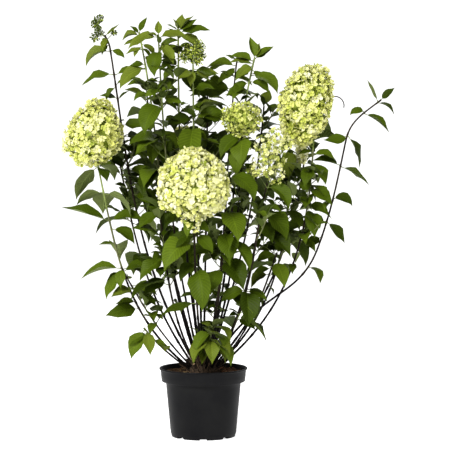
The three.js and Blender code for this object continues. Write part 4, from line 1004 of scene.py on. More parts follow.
class Heap:
    """Points, faces, material numbers and map points that become one mesh."""

    def __init__(self):
        self.points, self.faces, self.finish, self.maps, self.count = [], [], [], [], 0

    def add(self, points, faces, finish=0, maps=None):
        """Finish is one number for all faces, or one for each."""
        self.points.append(np.asarray(points, float))
        self.faces += [tuple(i + self.count for i in face) for face in faces]
        self.finish += list(finish) if hasattr(finish, "__len__") else [finish] * len(faces)
        self.maps.append(np.asarray(maps if maps is not None else np.full((len(points), 2), 0.5)))
        self.count += len(points)

    def mesh(self, name, finishes, smooth_faces=True, with_map=False):
        data = bpy.data.meshes.new(name)
        data.from_pydata((np.vstack(self.points) * MM).tolist(), [], self.faces)
        for finish in finishes:
            data.materials.append(looks[finish])
        data.polygons.foreach_set("material_index", np.array(self.finish, np.int32))
        data.polygons.foreach_set("use_smooth", np.full(len(self.faces), smooth_faces))
        data.set_sharp_from_angle(angle=math.radians(SHARP))
        if with_map:
            layer = data.uv_layers.new(name="leaf")
            corners = np.zeros(len(data.loops), np.int32)
            data.loops.foreach_get("vertex_index", corners)
            layer.data.foreach_set("uv", np.vstack(self.maps)[corners].ravel())
        data.update()
        return add_object(name, data)

    def shape(self, name, finish, smooth_faces=True):
        """A mesh that only a tree sets on its points, so its object isn't in the scene."""
        piece = self.mesh(name, (finish,), smooth_faces)
        bpy.context.scene.collection.objects.unlink(piece)
        return piece


def triangles_of(piece):
    return sum(len(polygon.vertices) - 2 for polygon in piece.data.polygons)


def tube(points, radii, sides, relief=None):
    """A closed tube: its points and faces. Relief is added to the radii by ring and side."""
    points = np.asarray(points, float)
    last = len(points) - 1
    angles = TURN * np.arange(sides) / sides
    side, rings = None, []
    for i, point in enumerate(points):
        along = unit(points[min(i + 1, last)] - points[max(i - 1, 0)])
        if side is None:
            side = np.cross((1.0, 0, 0) if abs(along[2]) > 0.9 else UP, along)
        side = unit(side - along * (side @ along))
        other = np.cross(along, side)
        radius = np.full(sides, float(radii[i])) + (relief[i] if relief is not None else 0)
        across, aside = radius * np.cos(angles), radius * np.sin(angles)
        rings.append(point + (side * across[:, None] + other * aside[:, None]))
    faces = []
    for a in range(last * sides):
        b = a - a % sides + (a + 1) % sides
        faces.append((a, b, b + sides, a + sides))
    faces.append(tuple(reversed(range(sides))))
    faces.append(tuple(last * sides + k for k in range(sides)))
    return np.vstack(rings), faces


# %% [markdown]
# ## Leaves
#
# The leaf of a panicle hydrangea is a long oval that ends in a drawn-out point. It
# is folded a little along the midrib, arches over its length, and its edges wave.
# A few dozen faces are enough for that: five points across and nine along on the
# upper side, and as many a little lower with the same rim, so that each is closed.
# Both sides start their faces at the same corner, so they bend alike and never cross.

# %% One leaf
BLADE = {"seed": 77, "from": 0.12, "half": 0.285, "width_spread": (0.86, 1.05),
         "along": (0.06, 0.17, 0.32, 0.48, 0.64, 0.78, 0.90),
         "width": (0.36, 0.76, 0.98, 0.96, 0.73, 0.41, 0.14),
         "fold": (10, 34), "twist": 18, "wave": (0.05, 0.18), "waves": 1.6, "curl": (-0.12, 0.26),
         "uneven": (0.02, 0.07), "dents": 2.3, "other_hand": 1.3, "thick": 0.45, "keel": 0.7,
         "quilt": 0.4, "stalk": (1.3, 1.0, 0.5)}


def leaf_shape(leaf, draw):
    """Points, faces, material numbers and map of one leaf: 0 above, 1 below, 2 its stalk."""
    half = leaf["length"] * BLADE["half"] * between(draw, *BLADE["width_spread"])
    fold = math.radians(between(draw, *BLADE["fold"]))
    twist, wave, phase = spread(draw, BLADE["twist"]), between(draw, *BLADE["wave"]), between(draw, 0, TURN)
    curl, uneven = between(draw, *BLADE["curl"]), between(draw, *BLADE["uneven"])
    start, thick = BLADE["from"], BLADE["thick"]
    points, maps = [], []

    def add(share, across, below=0.0, quilt=0.0):
        s = blend(start, 1, share)
        rib, side, face = leaf_axes(leaf, s, twist * (s - 0.4))
        hand = BLADE["other_hand"] if across < 0 else 0
        width = half * np.interp(share, (0, *BLADE["along"], 1), (0, *BLADE["width"], 0))
        width *= 1 + uneven * math.sin(TURN * BLADE["dents"] * share + 2 * phase + 2 * hand)
        off = abs(across) * width
        rise = off * math.sin(fold) - curl * off * abs(across)
        rise += wave * off * math.sin(TURN * BLADE["waves"] * share + phase + hand)
        points.append(rib + side * (across * width * math.cos(fold)) + face * (rise + quilt - below))
        maps.append((0.5 + across / 2, share))
        return len(points) - 1

    base, tip = add(0, 0), add(1, 0)
    above, below = [[base] * 5], [[base] * 5]
    for i, share in enumerate(BLADE["along"]):
        lift, keel = BLADE["quilt"] * (i % 2), thick + BLADE["keel"] * (1 - share)
        upper = [add(share, across, 0, lift * (abs(across) == 0.5)) for across in (-1, -0.5, 0, 0.5, 1)]
        lower = [add(share, -0.5, thick, lift), add(share, 0, keel), add(share, 0.5, thick, lift)]
        above.append(upper)
        below.append([upper[0], *lower, upper[4]])
    above.append([tip] * 5)
    below.append([tip] * 5)
    faces, finish = [], []
    for i in range(len(above) - 1):
        for k in range(4):
            up, down = above[i:i + 2], below[i:i + 2]
            over = (up[0][k], up[0][k + 1], up[1][k + 1], up[1][k])
            under = (down[0][k], down[1][k], down[1][k + 1], down[0][k + 1])
            for look, corners in enumerate((over, under)):
                face = tuple(dict.fromkeys(corners))
                if len(face) > 2:
                    faces.append(face)
                    finish.append(look)
    stalk_line = [leaf_axes(leaf, s)[0] for s in (0, start * 0.6, start + 0.05)]
    stalk_points, stalk_faces = tube(stalk_line, BLADE["stalk"], 4)
    faces += [tuple(i + len(points) for i in face) for face in stalk_faces]
    finish += [2] * len(stalk_faces)
    maps += [(0.5, 0.0)] * len(stalk_points)
    return np.vstack([points, stalk_points]), faces, finish, maps


# %% [markdown]
# A leaf's colour depends on its age and place. Leaves deep and low in the clump are
# the darkest, which is painted shade. Those at the tips are lighter for their youth,
# and the large ones at the upper front are lighter as painted light. The shoots low at
# the front are a fresh yellow green. The tints are dealt out leaf by leaf.

# %% Dealing out the tints
LEAF_FINISHES = (*LEAF_TINTS, *UNDERSIDE_TINTS, "cane_green")
# Place adds painted light and shade to the tint. Age adds only the lighter young leaves at the tips.
AGE_AND_LIGHT = {"old_and_shaded": 1.4, "height": (1.1, 640, 360), "reach": (0.4, 120, 200), "tip": (0.8, 70), "chance": 1.1,
       "lit": 0.7, "lit_length": 85, "pale_from": 4, "pale_share": 0.2}
MASS_TINTS = {"left_foot": 3.3, "low_front": 3.6, "left_low": 3.0, "right_low": 2.6, "left_bloom": 2.2,
              "right_whip": 1.6, "front_leafy": 1.9, "back_low": 1.0}
PALE_UNDERSIDES = ("left_bloom", "middle_bloom")  # their leaves show veined undersides in the photo


def leaf_tint(leaf, cane, draw):
    """The number of a leaf's tint, from the darkest to the youngest, with painted shade deep in the clump and
    painted light at the upper front.
    """
    x, y, z = leaf["root"]
    high, low_end, rise = AGE_AND_LIGHT["height"]
    wide, near, run = AGE_AND_LIGHT["reach"]
    young, back = AGE_AND_LIGHT["tip"]
    # Leaves low down and near the middle stay darker: painted shade.
    value = AGE_AND_LIGHT["old_and_shaded"] + high * smooth((z - low_end) / rise) + wide * smooth((math.hypot(x, y) - near) / run)
    value += young * (1 - smooth(leaf["back"] / back))
    if y < 0 and leaf["length"] > AGE_AND_LIGHT["lit_length"] and z > low_end:
        value += AGE_AND_LIGHT["lit"]  # the large leaves at the upper front catch the light
    value = MASS_TINTS.get(cane["name"], value)
    return int(np.clip(round(value + spread(draw, AGE_AND_LIGHT["chance"])), 0, len(LEAF_TINTS) - 1))


def grow_leaves(name, owners):
    heap, draw = Heap(), seeded(BLADE["seed"])
    for owner in owners:
        for leaf in masses[owner]["leaves"]:
            points, faces, finish, maps = leaf_shape(leaf, draw)
            upper = leaf_tint(leaf, canes[owner], draw)
            pale = upper >= AGE_AND_LIGHT["pale_from"] or canes[owner]["name"] in PALE_UNDERSIDES
            pale = pale or draw() < AGE_AND_LIGHT["pale_share"]
            numbers = (upper, len(LEAF_TINTS) + int(pale), len(LEAF_FINISHES) - 1)
            heap.add(points, faces, [numbers[look] for look in finish], maps)
    return heap.mesh(name, LEAF_FINISHES, with_map=True)


BACK_OWNERS = [i for i, cane in enumerate(canes) if math.sin(math.radians(cane["toward"])) > 0.2]
FRONT_OWNERS = [i for i in range(len(canes)) if i not in BACK_OWNERS]
leaf_pieces = [grow_leaves("leaves_front", FRONT_OWNERS), grow_leaves("leaves_back", BACK_OWNERS)]
print("leaf triangles:", [triangles_of(piece) for piece in leaf_pieces])

# %% [markdown]
# ## Canes
#
# A cane is a tapering tube with real relief: lengthwise ribs in the bark, and a slight
# swelling at each node where a pair of leaves is or was. The lower part is old dark
# wood. Above its bare part it turns brown, then olive and green. Every point of every
# rib needs its own radius, so the tube is built ring by ring.

# %% Canes, stems and twigs
CANE_FINISHES = tuple(CANE_TINTS)
CANE_MESH = {"seed": 91, "step": 7, "sides": 10, "slim": 0.80, "upper": 0.36, "rib": 0.10, "drift": 0.7,
             "swell": 0.24, "swell_length": 5, "bare_node_gap": 84, "foot": 1.3, "sunk": 3}
GREENING = {"from": 0.9, "rise": 2.2, "usual": 0.35}
GREEN_CANES = {"left_bloom": 1.3, "top_left": 1.7, "top_left_front": 1.7, "top_middle": 1.6, "bud_top": 1.6,
               "top_right": 1.4, "right_bloom": 1.0, "right_inner": 1.0, "low_front": 1.3, "left_foot": 1.0}
TWIG_MESH = {"sag": -0.05, "shares": (0, 0.25, 0.5, 0.75, 1), "sides": 6}


def grow_cane(heap, cane, mass, draw):
    path, leaf_from, sides = cane["path"], cane["leaf_from"], CANE_MESH["sides"]
    at = np.array(stations(-CANE_MESH["sunk"], path.total, CANE_MESH["step"]))
    nodes = [node_at for node_at, _ in mass["nodes"]]
    nodes += list(np.arange(leaf_from - 20, 40, -CANE_MESH["bare_node_gap"]))
    swell = sum(np.exp(-(((at - node) / CANE_MESH["swell_length"]) ** 2)) for node in nodes)
    upper = np.clip((at - leaf_from) / (path.total - leaf_from), 0, 1)
    size = CANE_MESH["slim"] + CANE_MESH["upper"] * upper + CANE_MESH["swell"] * np.minimum(swell, 1)
    radii = np.array([cane_radius(cane, max(d, 0)) for d in at]) * size
    radii[0] *= CANE_MESH["foot"]
    ribs = np.array([spread(draw, CANE_MESH["rib"]) for _ in range(sides)])
    drift = [spread(draw, CANE_MESH["rib"] * CANE_MESH["drift"]) for _ in range(len(at) * sides)]
    relief = (ribs + np.array(drift).reshape(-1, sides)) * radii[:, None]
    line = [path.points[0] + cane["start"] * d if d < 0 else path.at(d) for d in at]
    points, faces = tube(line, radii, sides, relief)
    green = GREEN_CANES.get(cane["name"], GREENING["usual"])
    old, finish = leaf_from * GREENING["from"], []
    for d in at[:-1]:
        share = (d - old) / (path.total - old)
        level = 0 if share < 0 else min(3, int(1.0 + share * GREENING["rise"] * green))
        finish += [level] * sides
    heap.add(points, faces, finish + [finish[0], finish[-1]])


def withered_line(cane):
    """The bare stalk of a lost leaf: straight for a while, then curled evenly downwards."""
    plan, steps = cane["withered"], WITHERED["steps"]
    line = [cane["path"].at(cane["path"].to_height(plan["rise"]))]
    for i in range(steps):
        bent = max((i + 0.5) / steps - WITHERED["straight"], 0) / (1 - WITHERED["straight"])
        way = leaning(90 - plan["lift"] + plan["curl"] * bent, plan["toward"])
        line.append(line[-1] + way * plan["length"] / steps)
    return line


def grow_stems():
    canes_heap, twigs_heap, draw = Heap(), Heap(), seeded(CANE_MESH["seed"])
    shares, sides = TWIG_MESH["shares"], TWIG_MESH["sides"]
    olive, green = CANE_FINISHES.index("cane_olive"), CANE_FINISHES.index("cane_green")
    for cane, mass in zip(canes, masses):
        grow_cane(canes_heap, cane, mass, draw)
        for twig in mass["twigs"]:
            start, end = twig["points"]
            sag = UP * (TWIG_MESH["sag"] * np.linalg.norm(end - start))
            line = [blend(start, end, s) + sag * math.sin(math.pi * s) for s in shares]
            points, faces = tube(line, np.linspace(*twig["radii"], len(line)), sides)
            twigs_heap.add(points, faces, olive if draw() < 0.5 else green)
        if "withered" in cane:
            line = withered_line(cane)
            radii = np.linspace(*WITHERED["radii"], len(line))
            twigs_heap.add(*tube(line, radii, sides), CANE_FINISHES.index("cane_brown"))
    return canes_heap.mesh("canes", CANE_FINISHES), twigs_heap.mesh("twigs", CANE_FINISHES)


canes_piece, twigs_piece = grow_stems()
print("cane and twig triangles:", triangles_of(canes_piece), triangles_of(twigs_piece))

# %% [markdown]
# ## Flower heads
#
# A head looks like one ball, but it is hundreds of florets on a branched stalk. Each
# floret has four rounded sepals. Geometry Nodes suit this well: we work out one
# point, direction, size and spin for each floret, store them on a
# small mesh of points, and let the tree set a floret on each. The same tree sets
# the unopened buds.

# %% One floret and one bud
FLORET = {"reach": 13.0, "width": 13.0, "bowl": 1.6, "arch": 0.14, "thickness": 0.5, "crown": 0.35, "knob": 1.4,
          "knob_top": 2.0, "turn": 12, "tilt": 14, "roll": 24, "sizes": (0.82, 1.08), "step": 0.4, "seed": 60}
SEPAL = ((0.42, 0.8), (0.72, 1.0), (1.0, 0.5))  # half of its outline: along, across
BUD = {"rise": (-4, -0.5, 0.6, 2.2, 3.6), "radii": (0.35, 0.4, 1.7, 1.9, 0.7), "sides": 6}
FLORET_LEANS = {"open": 6, "uneven": 14, "cupped": 26, "closing": 44}
OPEN_KINDS = tuple(FLORET_LEANS)


def turned(x, y, angle):
    return x * math.cos(angle) - y * math.sin(angle), x * math.sin(angle) + y * math.cos(angle)


def floret_mesh(kind, lean):
    """Four rounded sepals round a small knob, each a thin closed blade with its own lean and roll."""
    heap, draw = Heap(), seeded(FLORET["seed"] + lean)
    reach, half, knob = FLORET["reach"], FLORET["width"] / 2, FLORET["knob"]
    outline = [(0.8, 0.0), *((along * reach, across * half) for along, across in SEPAL)]
    outline += [(along * reach, -across * half) for along, across in reversed(SEPAL)]
    count = len(outline)
    for quarter in range(4):
        turn = math.radians(90 * quarter + spread(draw, FLORET["turn"]))
        tilt = math.radians(lean + spread(draw, FLORET["tilt"]))
        roll = math.radians(spread(draw, FLORET["roll"]))
        size = between(draw, *FLORET["sizes"])

        def put(x, y, drop):
            bowl = FLORET["bowl"] * (x / reach) ** 2 - FLORET["arch"] * abs(y) - drop
            y, up = turned(y, bowl, roll)
            x, up = turned(x, up, tilt)
            x, y = turned(x, y, turn)
            return size * x, size * y, size * up + FLORET["step"] * (quarter % 2)

        points = [put(x, y, 0) for x, y in outline]
        points += [put(0.6 * reach, 0.0, drop) for drop in (-FLORET["crown"], FLORET["thickness"])]
        faces = []
        for i in range(count):
            after = (i + 1) % count
            faces += [(count, i, after), (count + 1, after, i)]
        heap.add(points, faces)
    ring = [(*turned(knob, 0, a), 0.6) for a in np.arange(4) * math.pi / 2]
    faces = [(0, 1 + (k + 1) % 4, 1 + k) for k in range(4)] + [(5, 1 + k, 1 + (k + 1) % 4) for k in range(4)]
    heap.add([(0, 0, -0.6), *ring, (0, 0, FLORET["knob_top"])], faces)
    return heap.shape(f"floret_{kind}", "floret_cream")


def bud_mesh():
    """A closed bud on a short stalk, about 5 mm long."""
    heap = Heap()
    heap.add(*tube([(0, 0, rise) for rise in BUD["rise"]], BUD["radii"], BUD["sides"]))
    return heap.shape("bud", "floret_green")


floret_kinds = {kind: floret_mesh(kind, lean) for kind, lean in FLORET_LEANS.items()}
floret_kinds["bud"] = bud_mesh()
print("floret faces:", {kind: len(piece.data.polygons) for kind, piece in floret_kinds.items()})

# %% [markdown]
# A head's surface is a ball that a few waves make lumpy. The ways to the florets are
# spread over it in a spiral, as seeds are in a sunflower, and then shaken, because
# an even spiral shows as rows.

# %% The surface of a head


def shaken(draw, size):
    return np.array([spread(draw, size) for _ in range(3)])


def lump_waves(draw, count, rates, last_phase=TURN):
    """Waves over a ball: the way each runs, its rate and its phase."""
    return [(leaning(between(draw, 0, 180), between(draw, 0, 360)), between(draw, *rates),
             between(draw, 0, last_phase)) for _ in range(count)]


def lump_at(way, waves):
    return sum(math.sin(rate * float(way @ along) + phase) for along, rate, phase in waves)


def head_surface(cane, way):
    bloom = cane["head"]
    size = HEAD["base"] + HEAD["wave"] * lump_at(way, cane["waves"])
    girth = bloom["radius"] * size * (1 - HEAD["taper"] * abs(way[2]) - bloom["full"] * way[2])
    lean = leaning(90, cane["toward"]) * (bloom["slant"] * bloom["half"] * way[2])
    return cane["bloom_centre"] + lean + np.array([girth * way[0], girth * way[1], bloom["half"] * size * way[2]])


def spiral(count):
    """Ways spread evenly over a ball, from its top to its foot."""
    heights = 1 - (2 * np.arange(count) + 1) / count
    turns = np.radians(STALK["golden_turn"]) * np.arange(count)
    out = np.sqrt(1 - heights**2)
    return np.stack([out * np.cos(turns), out * np.sin(turns), heights], axis=1)


full_headed = [cane for cane in headed if "lobes" not in cane["head"]]
open_headed = [cane for cane in headed if "lobes" in cane["head"]]
for cane in full_headed:
    cane["waves"] = lump_waves(seeded(HEAD["seed"] + cane["head"]["seed"]), HEAD["waves"], HEAD["rates"])
print("full heads:", len(full_headed), "open heads:", len(open_headed))


# %% Where the florets sit
RAGGED = {"seed": 300, "out": 3, "in": 5, "tilt": 0.6, "deep": 11, "shaken": 0.09, "sizes": (0.75, 1.15)}
CLUSTER = {"shaken": 0.3, "spread": (0.5, 1.0), "sizes": (0.7, 1.0), "rays": 1, "ray": 0.5, "forward": -8}
LOBE = {"shaken": 0.25, "sizes": (0.8, 1.15), "rays": 0.6, "ray": 0.45, "lobes": (0.85, 1.1)}
seats = []  # place, outward way, size, spin, kind, tint
stalk_rays = []  # start, end, radius


def deal(shares, draw):
    chosen, number = draw() * sum(shares), 0
    while chosen > shares[number]:
        chosen -= shares[number]
        number += 1
    return number


def any_kind(draw):
    return OPEN_KINDS[int(draw() * len(OPEN_KINDS))]


def seat_lobe(plan, how, centre, radius, florets, draw):
    """A small ball of florets on rays."""
    for way in spiral(florets):
        way = unit(way + shaken(draw, how["shaken"]))
        kind = plan["kind"] if "kind" in plan else any_kind(draw)
        place = centre + way * radius * between(draw, *how["spread"])
        size = plan["size"] * between(draw, *how["sizes"])
        seats.append((place, way, size, between(draw, 0, 360), kind, deal(plan["tints"], draw)))
        if how["rays"] == 1 or draw() < how["rays"]:
            stalk_rays.append((centre - UP * (radius * 0.4), place, how["ray"]))


def seat_full_head(cane):
    centre, plan, path = cane["bloom_centre"], cane["head"], cane["path"]
    ragged, draw = plan.get("ragged", 1), seeded(RAGGED["seed"] + plan["seed"])
    for way in spiral(plan["florets"]):
        way = unit(way + shaken(draw, RAGGED["shaken"]))
        surface = head_surface(cane, way)
        out = unit(surface - centre)
        lean = unit(out + shaken(draw, RAGGED["tilt"]))
        size = plan["size"] * between(draw, *RAGGED["sizes"])
        sunk = between(draw, -RAGGED["out"] * ragged, RAGGED["in"] * ragged) + plan["depth"] * draw() ** 3
        tint = deal(plan["tints"], draw)
        # Florets sunk deep in the head take the next greener, darker tint: painted shade in its hollows.
        if sunk > RAGGED["deep"]:
            tint = max(tint - 1, 1)
        kind = any_kind(draw)
        seats.append((surface - out * sunk, lean, size, between(draw, 0, 360), kind, tint))
    for aside, above, radius, florets in plan.get("beside", ()):
        cluster = centre + np.array([aside, CLUSTER["forward"], above])
        fork = path.at(path.to_height(min(cluster[2] - 20, path.points[-1][2] - 4)))
        stalk_rays.append((fork, cluster, 1.0))
        seat_lobe(plan, CLUSTER, cluster, radius, florets, draw)


def seat_open_head(cane):
    centre, plan, lobes = cane["bloom_centre"], cane["head"], []
    draw = seeded(HEAD["seed"] + plan["seed"])
    for i in range(plan["lobes"]):
        height = 1 - 2 * i / (plan["lobes"] - 1)
        radius = plan["lobe"] * between(draw, *LOBE["lobes"])
        out = (plan["radius"] - radius) * (1 - 0.5 * abs(height)) * plan.get("wide", 1)
        toward = STALK["golden_turn"] * i + spread(draw, STALK["turn_spread"])
        rise = height * (plan["half"] - radius)
        lobe = centre + UP * rise + leaning(90, toward) * out
        lobes.append((centre + UP * (rise - out * 0.7), lobe, radius, plan["florets"]))
    for aside, above, radius, florets in plan.get("beside", ()):
        fork, lobe = cane["tip"] - UP * 18, cane["tip"] + np.array([aside, 0, above])
        lobes.append((fork, lobe, radius, florets))
    for fork, lobe, radius, florets in lobes:
        stalk_rays.append((fork, lobe, 1.0))
        seat_lobe(plan, dict(LOBE, spread=plan["spread"]), lobe, radius, florets, draw)


for cane in headed:
    if "lobes" in cane["head"]:
        seat_open_head(cane)
    else:
        seat_full_head(cane)
print("florets and buds:", len(seats))

# %% [markdown]
# The tree below reads those points. Align Rotation to Vector turns the floret's axis
# outwards, and a rotation about that axis gives it its own spin. Each tint is one
# run of the tree, so that its material is a plain one, and the result of each run
# becomes a plain mesh. The chips on the compost end in the same four nodes, so the
# helpers that start, end and run a tree serve both.

# %% Starting, ending and running a tree


def new_tree(name, *inputs):
    """A tree with named inputs, the first a mesh and the others numbers, and one result."""
    tree = bpy.data.node_groups.new(name, "GeometryNodeTree")
    for number, label in enumerate(inputs):
        kind = "NodeSocketFloat" if number else "NodeSocketGeometry"
        tree.interface.new_socket(label, in_out="INPUT", socket_type=kind)
    tree.interface.new_socket("Result", in_out="OUTPUT", socket_type="NodeSocketGeometry")
    return tree, add_node(tree, "NodeGroupInput"), add_node(tree, "NodeGroupOutput")


def set_shape(tree, end, shape, look):
    """The last nodes of a tree: a shape is set on points, made real and given its finish."""
    source = add_node(tree, "GeometryNodeObjectInfo", None, {"Object": shape})
    setter = add_node(tree, "GeometryNodeInstanceOnPoints")
    real = add_node(tree, "GeometryNodeRealizeInstances")
    finish = add_node(tree, "GeometryNodeSetMaterial", None, {"Material": looks[look]})
    wire(tree, (source, "Geometry", setter, "Instance"), (setter, "Instances", real, "Geometry"),
         (real, "Geometry", finish, "Geometry"), (finish, "Geometry", end, "Result"))
    return setter


def run_tree(name, data, tree, values):
    """A tree's result on a mesh, as a plain mesh. Inputs are set by the socket's identifier."""
    carrier = add_object("carrier", data)
    modifier = carrier.modifiers.new("tree", "NODES")
    modifier.node_group = tree
    for socket in tree.interface.items_tree:
        if socket.in_out == "INPUT" and socket.name in values:
            modifier[socket.identifier] = values[socket.name]
    evaluated = carrier.evaluated_get(bpy.context.evaluated_depsgraph_get())
    made = add_object(name, bpy.data.meshes.new_from_object(evaluated))
    bpy.data.objects.remove(carrier)
    return made


# %% The tree that sets the florets
SEAT_LAYERS = (("way", 1, "FLOAT_VECTOR", "vector"), ("size", 2, "FLOAT", "value"), ("spin", 3, "FLOAT", "value"))


def floret_tree(kind, tint):
    tree, start, end = new_tree(f"set_{kind}_{tint}", "Seats", "Size")
    way, size, spin = (add_node(tree, "GeometryNodeInputNamedAttribute", {"data_type": data}, {"Name": name})
                       for name, _, data, _ in SEAT_LAYERS)
    aligned = add_node(tree, "FunctionNodeAlignRotationToVector", {"axis": "Z"})
    about = add_node(tree, "FunctionNodeAxisAngleToRotation", None, {"Axis": (0, 0, 1)})
    spun = add_node(tree, "FunctionNodeRotateRotation", {"rotation_space": "LOCAL"})
    scaled = add_node(tree, "ShaderNodeMath", {"operation": "MULTIPLY"})
    setter = set_shape(tree, end, floret_kinds[kind], tint)
    wire(tree, (way, "Attribute", aligned, "Vector"), (spin, "Attribute", about, "Angle"),
         (aligned, "Rotation", spun, "Rotation"), (about, "Rotation", spun, "Rotate By"),
         (size, "Attribute", scaled, 0), (start, "Size", scaled, 1), (start, "Seats", setter, "Points"),
         (spun, "Rotation", setter, "Rotation"), (scaled, "Value", setter, "Scale"))
    return tree


def set_flowers(kind, tint, chosen):
    """One run of the tree over the chosen seats."""
    data = bpy.data.meshes.new("seats")
    data.from_pydata([tuple(seat[0] * MM) for seat in chosen], [], [])
    for name, column, kind_of_data, field in SEAT_LAYERS:
        values = np.array([seat[column] for seat in chosen], float)
        values = np.radians(values) if name == "spin" else values
        data.attributes.new(name, kind_of_data, "POINT").data.foreach_set(field, values.ravel())
    return run_tree(f"{kind}_{tint}", data, floret_tree(kind, tint), {"Size": 1.0})


def join_pieces(pieces, name):
    bpy.ops.object.select_all(action="DESELECT")
    for piece in pieces:
        piece.select_set(True)
    bpy.context.view_layer.objects.active = pieces[0]
    if len(pieces) > 1:
        bpy.ops.object.join()
    pieces[0].name = name
    return pieces[0]


flower_pieces = []
for number, tint in enumerate(FLORET_TINTS):
    runs = []
    for kind in floret_kinds:
        chosen = [seat for seat in seats if seat[4:] == (kind, number)]
        if chosen:
            runs.append(set_flowers(kind, tint, chosen))
    flower_pieces.append(join_pieces(runs, tint.replace("floret", "blossom")))
print("blossom triangles:", {piece.name: triangles_of(piece) for piece in flower_pieces})

# %% [markdown]
# Inside each full head there is a core of thin branches. A lumpy green core also
# stops light from passing through, so the gaps between florets look deep and green.
# The open heads show their rays.

# %% Stalks and cores inside the heads
CORE = {"seed": 640, "rays": 90, "inner": 0.82, "axis": 0.7, "bend": 4, "sunk": 15, "fineness": 3}
RADII = {"axis": (1.8, 1.4, 0.7), "ray": (0.9, 0.7, 0.5)}


def ball(fineness):
    """The ways to the points of a ball of small triangles, and its faces."""
    made = bmesh.new()
    bmesh.ops.create_icosphere(made, subdivisions=fineness, radius=1.0)
    ways = [unit(np.array(vertex.co)) for vertex in made.verts]
    faces = [tuple(vertex.index for vertex in face.verts) for face in made.faces]
    made.free()
    return ways, faces


def grow_head_stalks():
    heap, draw = Heap(), seeded(CORE["seed"])
    for cane in full_headed:
        centre, tip = cane["bloom_centre"], cane["path"].points[-1]
        axis = centre + UP * (cane["head"]["half"] * CORE["axis"])
        heap.add(*tube([tip - UP * 3, centre, axis], RADII["axis"], 6))
        for way in spiral(CORE["rays"]):
            end = blend(centre, head_surface(cane, way), CORE["inner"])
            start = blend(tip, axis, max(0.0, min(0.9, 0.5 + 0.5 * way[2] - 0.25)))
            bend = blend(start, end, 0.5) + UP * spread(draw, CORE["bend"])
            heap.add(*tube([start, bend, end], RADII["ray"], 4))
    for start, end, radius in stalk_rays:
        heap.add(*tube([start, end], (radius, radius * 0.8), 4))
    for cane in open_headed:
        centre, foot = cane["bloom_centre"], cane["tip"] - UP * STALK["sunk"]
        top = centre + UP * (cane["head"]["half"] - cane["head"]["lobe"])
        heap.add(*tube([foot, centre, top], STALK["radii"], 6))
    return heap.mesh("head_stalks", ("cane_green",))


def head_cores():
    """A dark green lumpy core inside each full head, well below the florets."""
    heap = Heap()
    ways, faces = ball(CORE["fineness"])
    for cane in full_headed:
        centre, places = cane["bloom_centre"], [head_surface(cane, way) for way in ways]
        shares = [1 - CORE["sunk"] / np.linalg.norm(place - centre) for place in places]
        heap.add([blend(centre, place, share) for place, share in zip(places, shares)], faces)
    return heap.mesh("head_cores", ("floret_green",))


stalks_piece = grow_head_stalks()
cores_piece = head_cores()
print("stalk triangles:", triangles_of(stalks_piece), "core triangles:", triangles_of(cores_piece))

# %% [markdown]
# ## Stool
#
# Where the canes meet the compost the shrub has a knotty woody crown, with the
# sawn stubs of old canes and a tuft of dry brown splinters. The crown is a lumpy
# dome over the solid, the stubs follow the solids' rule, and the splinters are
# thin tapering sticks.

# %% Stool with stubs and splinters
DOME = {"fineness": 5, "waves": 12, "rates": (8, 22), "phases": 6.3, "sunk": 1.2, "lump": 0.45, "below_soil": 8}
STUB_MESH = {"rings": 9, "sides": 12, "rough": 0.35, "radii": (1.05, 0.92)}
SPLINTERS = {"count": 170, "length": (12, 46), "radius": (0.6, 1.8), "lean": (4, 68), "seed": 808, "sunk": 3,
             "shaken": 0.35, "upward": 0.25, "bend": 2, "taper": (1, 0.8, 0.25), "sides": 5, "pale": 0.3}


def stub_starts():
    draw, taken, stubs = seeded(STUB["seed"]), [cane["start"] for cane in canes], []
    for _ in range(STUB["tries"]):
        if len(stubs) >= STUB["count"]:
            break
        lean, toward = between(draw, *STUB["lean"]), between(draw, 0, 360)
        start = leaning(lean, toward)
        if all(degrees_between(start, other) > STUB["apart"] for other in taken):
            taken.append(start)
            stubs.append((start, STUB["sunk"] + between(draw, *STUB["length"])))
    return stubs


def grow_stool():
    heap, draw = Heap(), seeded(SPLINTERS["seed"])
    waves = lump_waves(draw, DOME["waves"], DOME["rates"], DOME["phases"])
    ways, faces = ball(DOME["fineness"])
    lowest = np.array([-np.inf, -np.inf, SOIL["top"] - DOME["below_soil"]])
    sizes = [STOOL["radius"] - DOME["sunk"] + DOME["lump"] * lump_at(way, waves) for way in ways]
    heap.add([np.maximum(STOOL["centre"] + way * size, lowest) for way, size in zip(ways, sizes)], faces)
    rings, sides = STUB_MESH["rings"], STUB_MESH["sides"]
    for start, length in stub_starts():
        foot = STOOL["centre"] + start * (STOOL["radius"] - STUB["sunk"])
        relief = np.array([spread(draw, STUB_MESH["rough"]) for _ in range(rings * sides)]).reshape(rings, sides)
        radii = np.linspace(*(STUB["radius"] * share for share in STUB_MESH["radii"]), rings)
        points, faces = tube([foot + start * d for d in np.linspace(0, length, rings)], radii, sides, relief)
        heap.add(points, faces, [0] * (len(faces) - 1) + [1])
    for _ in range(SPLINTERS["count"]):
        start = leaning(between(draw, *SPLINTERS["lean"]), between(draw, 0, 360))
        foot = STOOL["centre"] + start * (STOOL["radius"] - SPLINTERS["sunk"])
        lean = unit(start + shaken(draw, SPLINTERS["shaken"]) + UP * SPLINTERS["upward"])
        length, radius = between(draw, *SPLINTERS["length"]), between(draw, *SPLINTERS["radius"])
        bend = foot + lean * (length * 0.5) + shaken(draw, SPLINTERS["bend"])
        radii = [radius * share for share in SPLINTERS["taper"]]
        points, faces = tube([foot, bend, foot + lean * length], radii, SPLINTERS["sides"])
        heap.add(points, faces, 1 if draw() < SPLINTERS["pale"] else 0)
    return heap.mesh("woody_stool", ("stool_wood", "cut_wood"))


stool_piece = grow_stool()
print("stool triangles:", triangles_of(stool_piece))

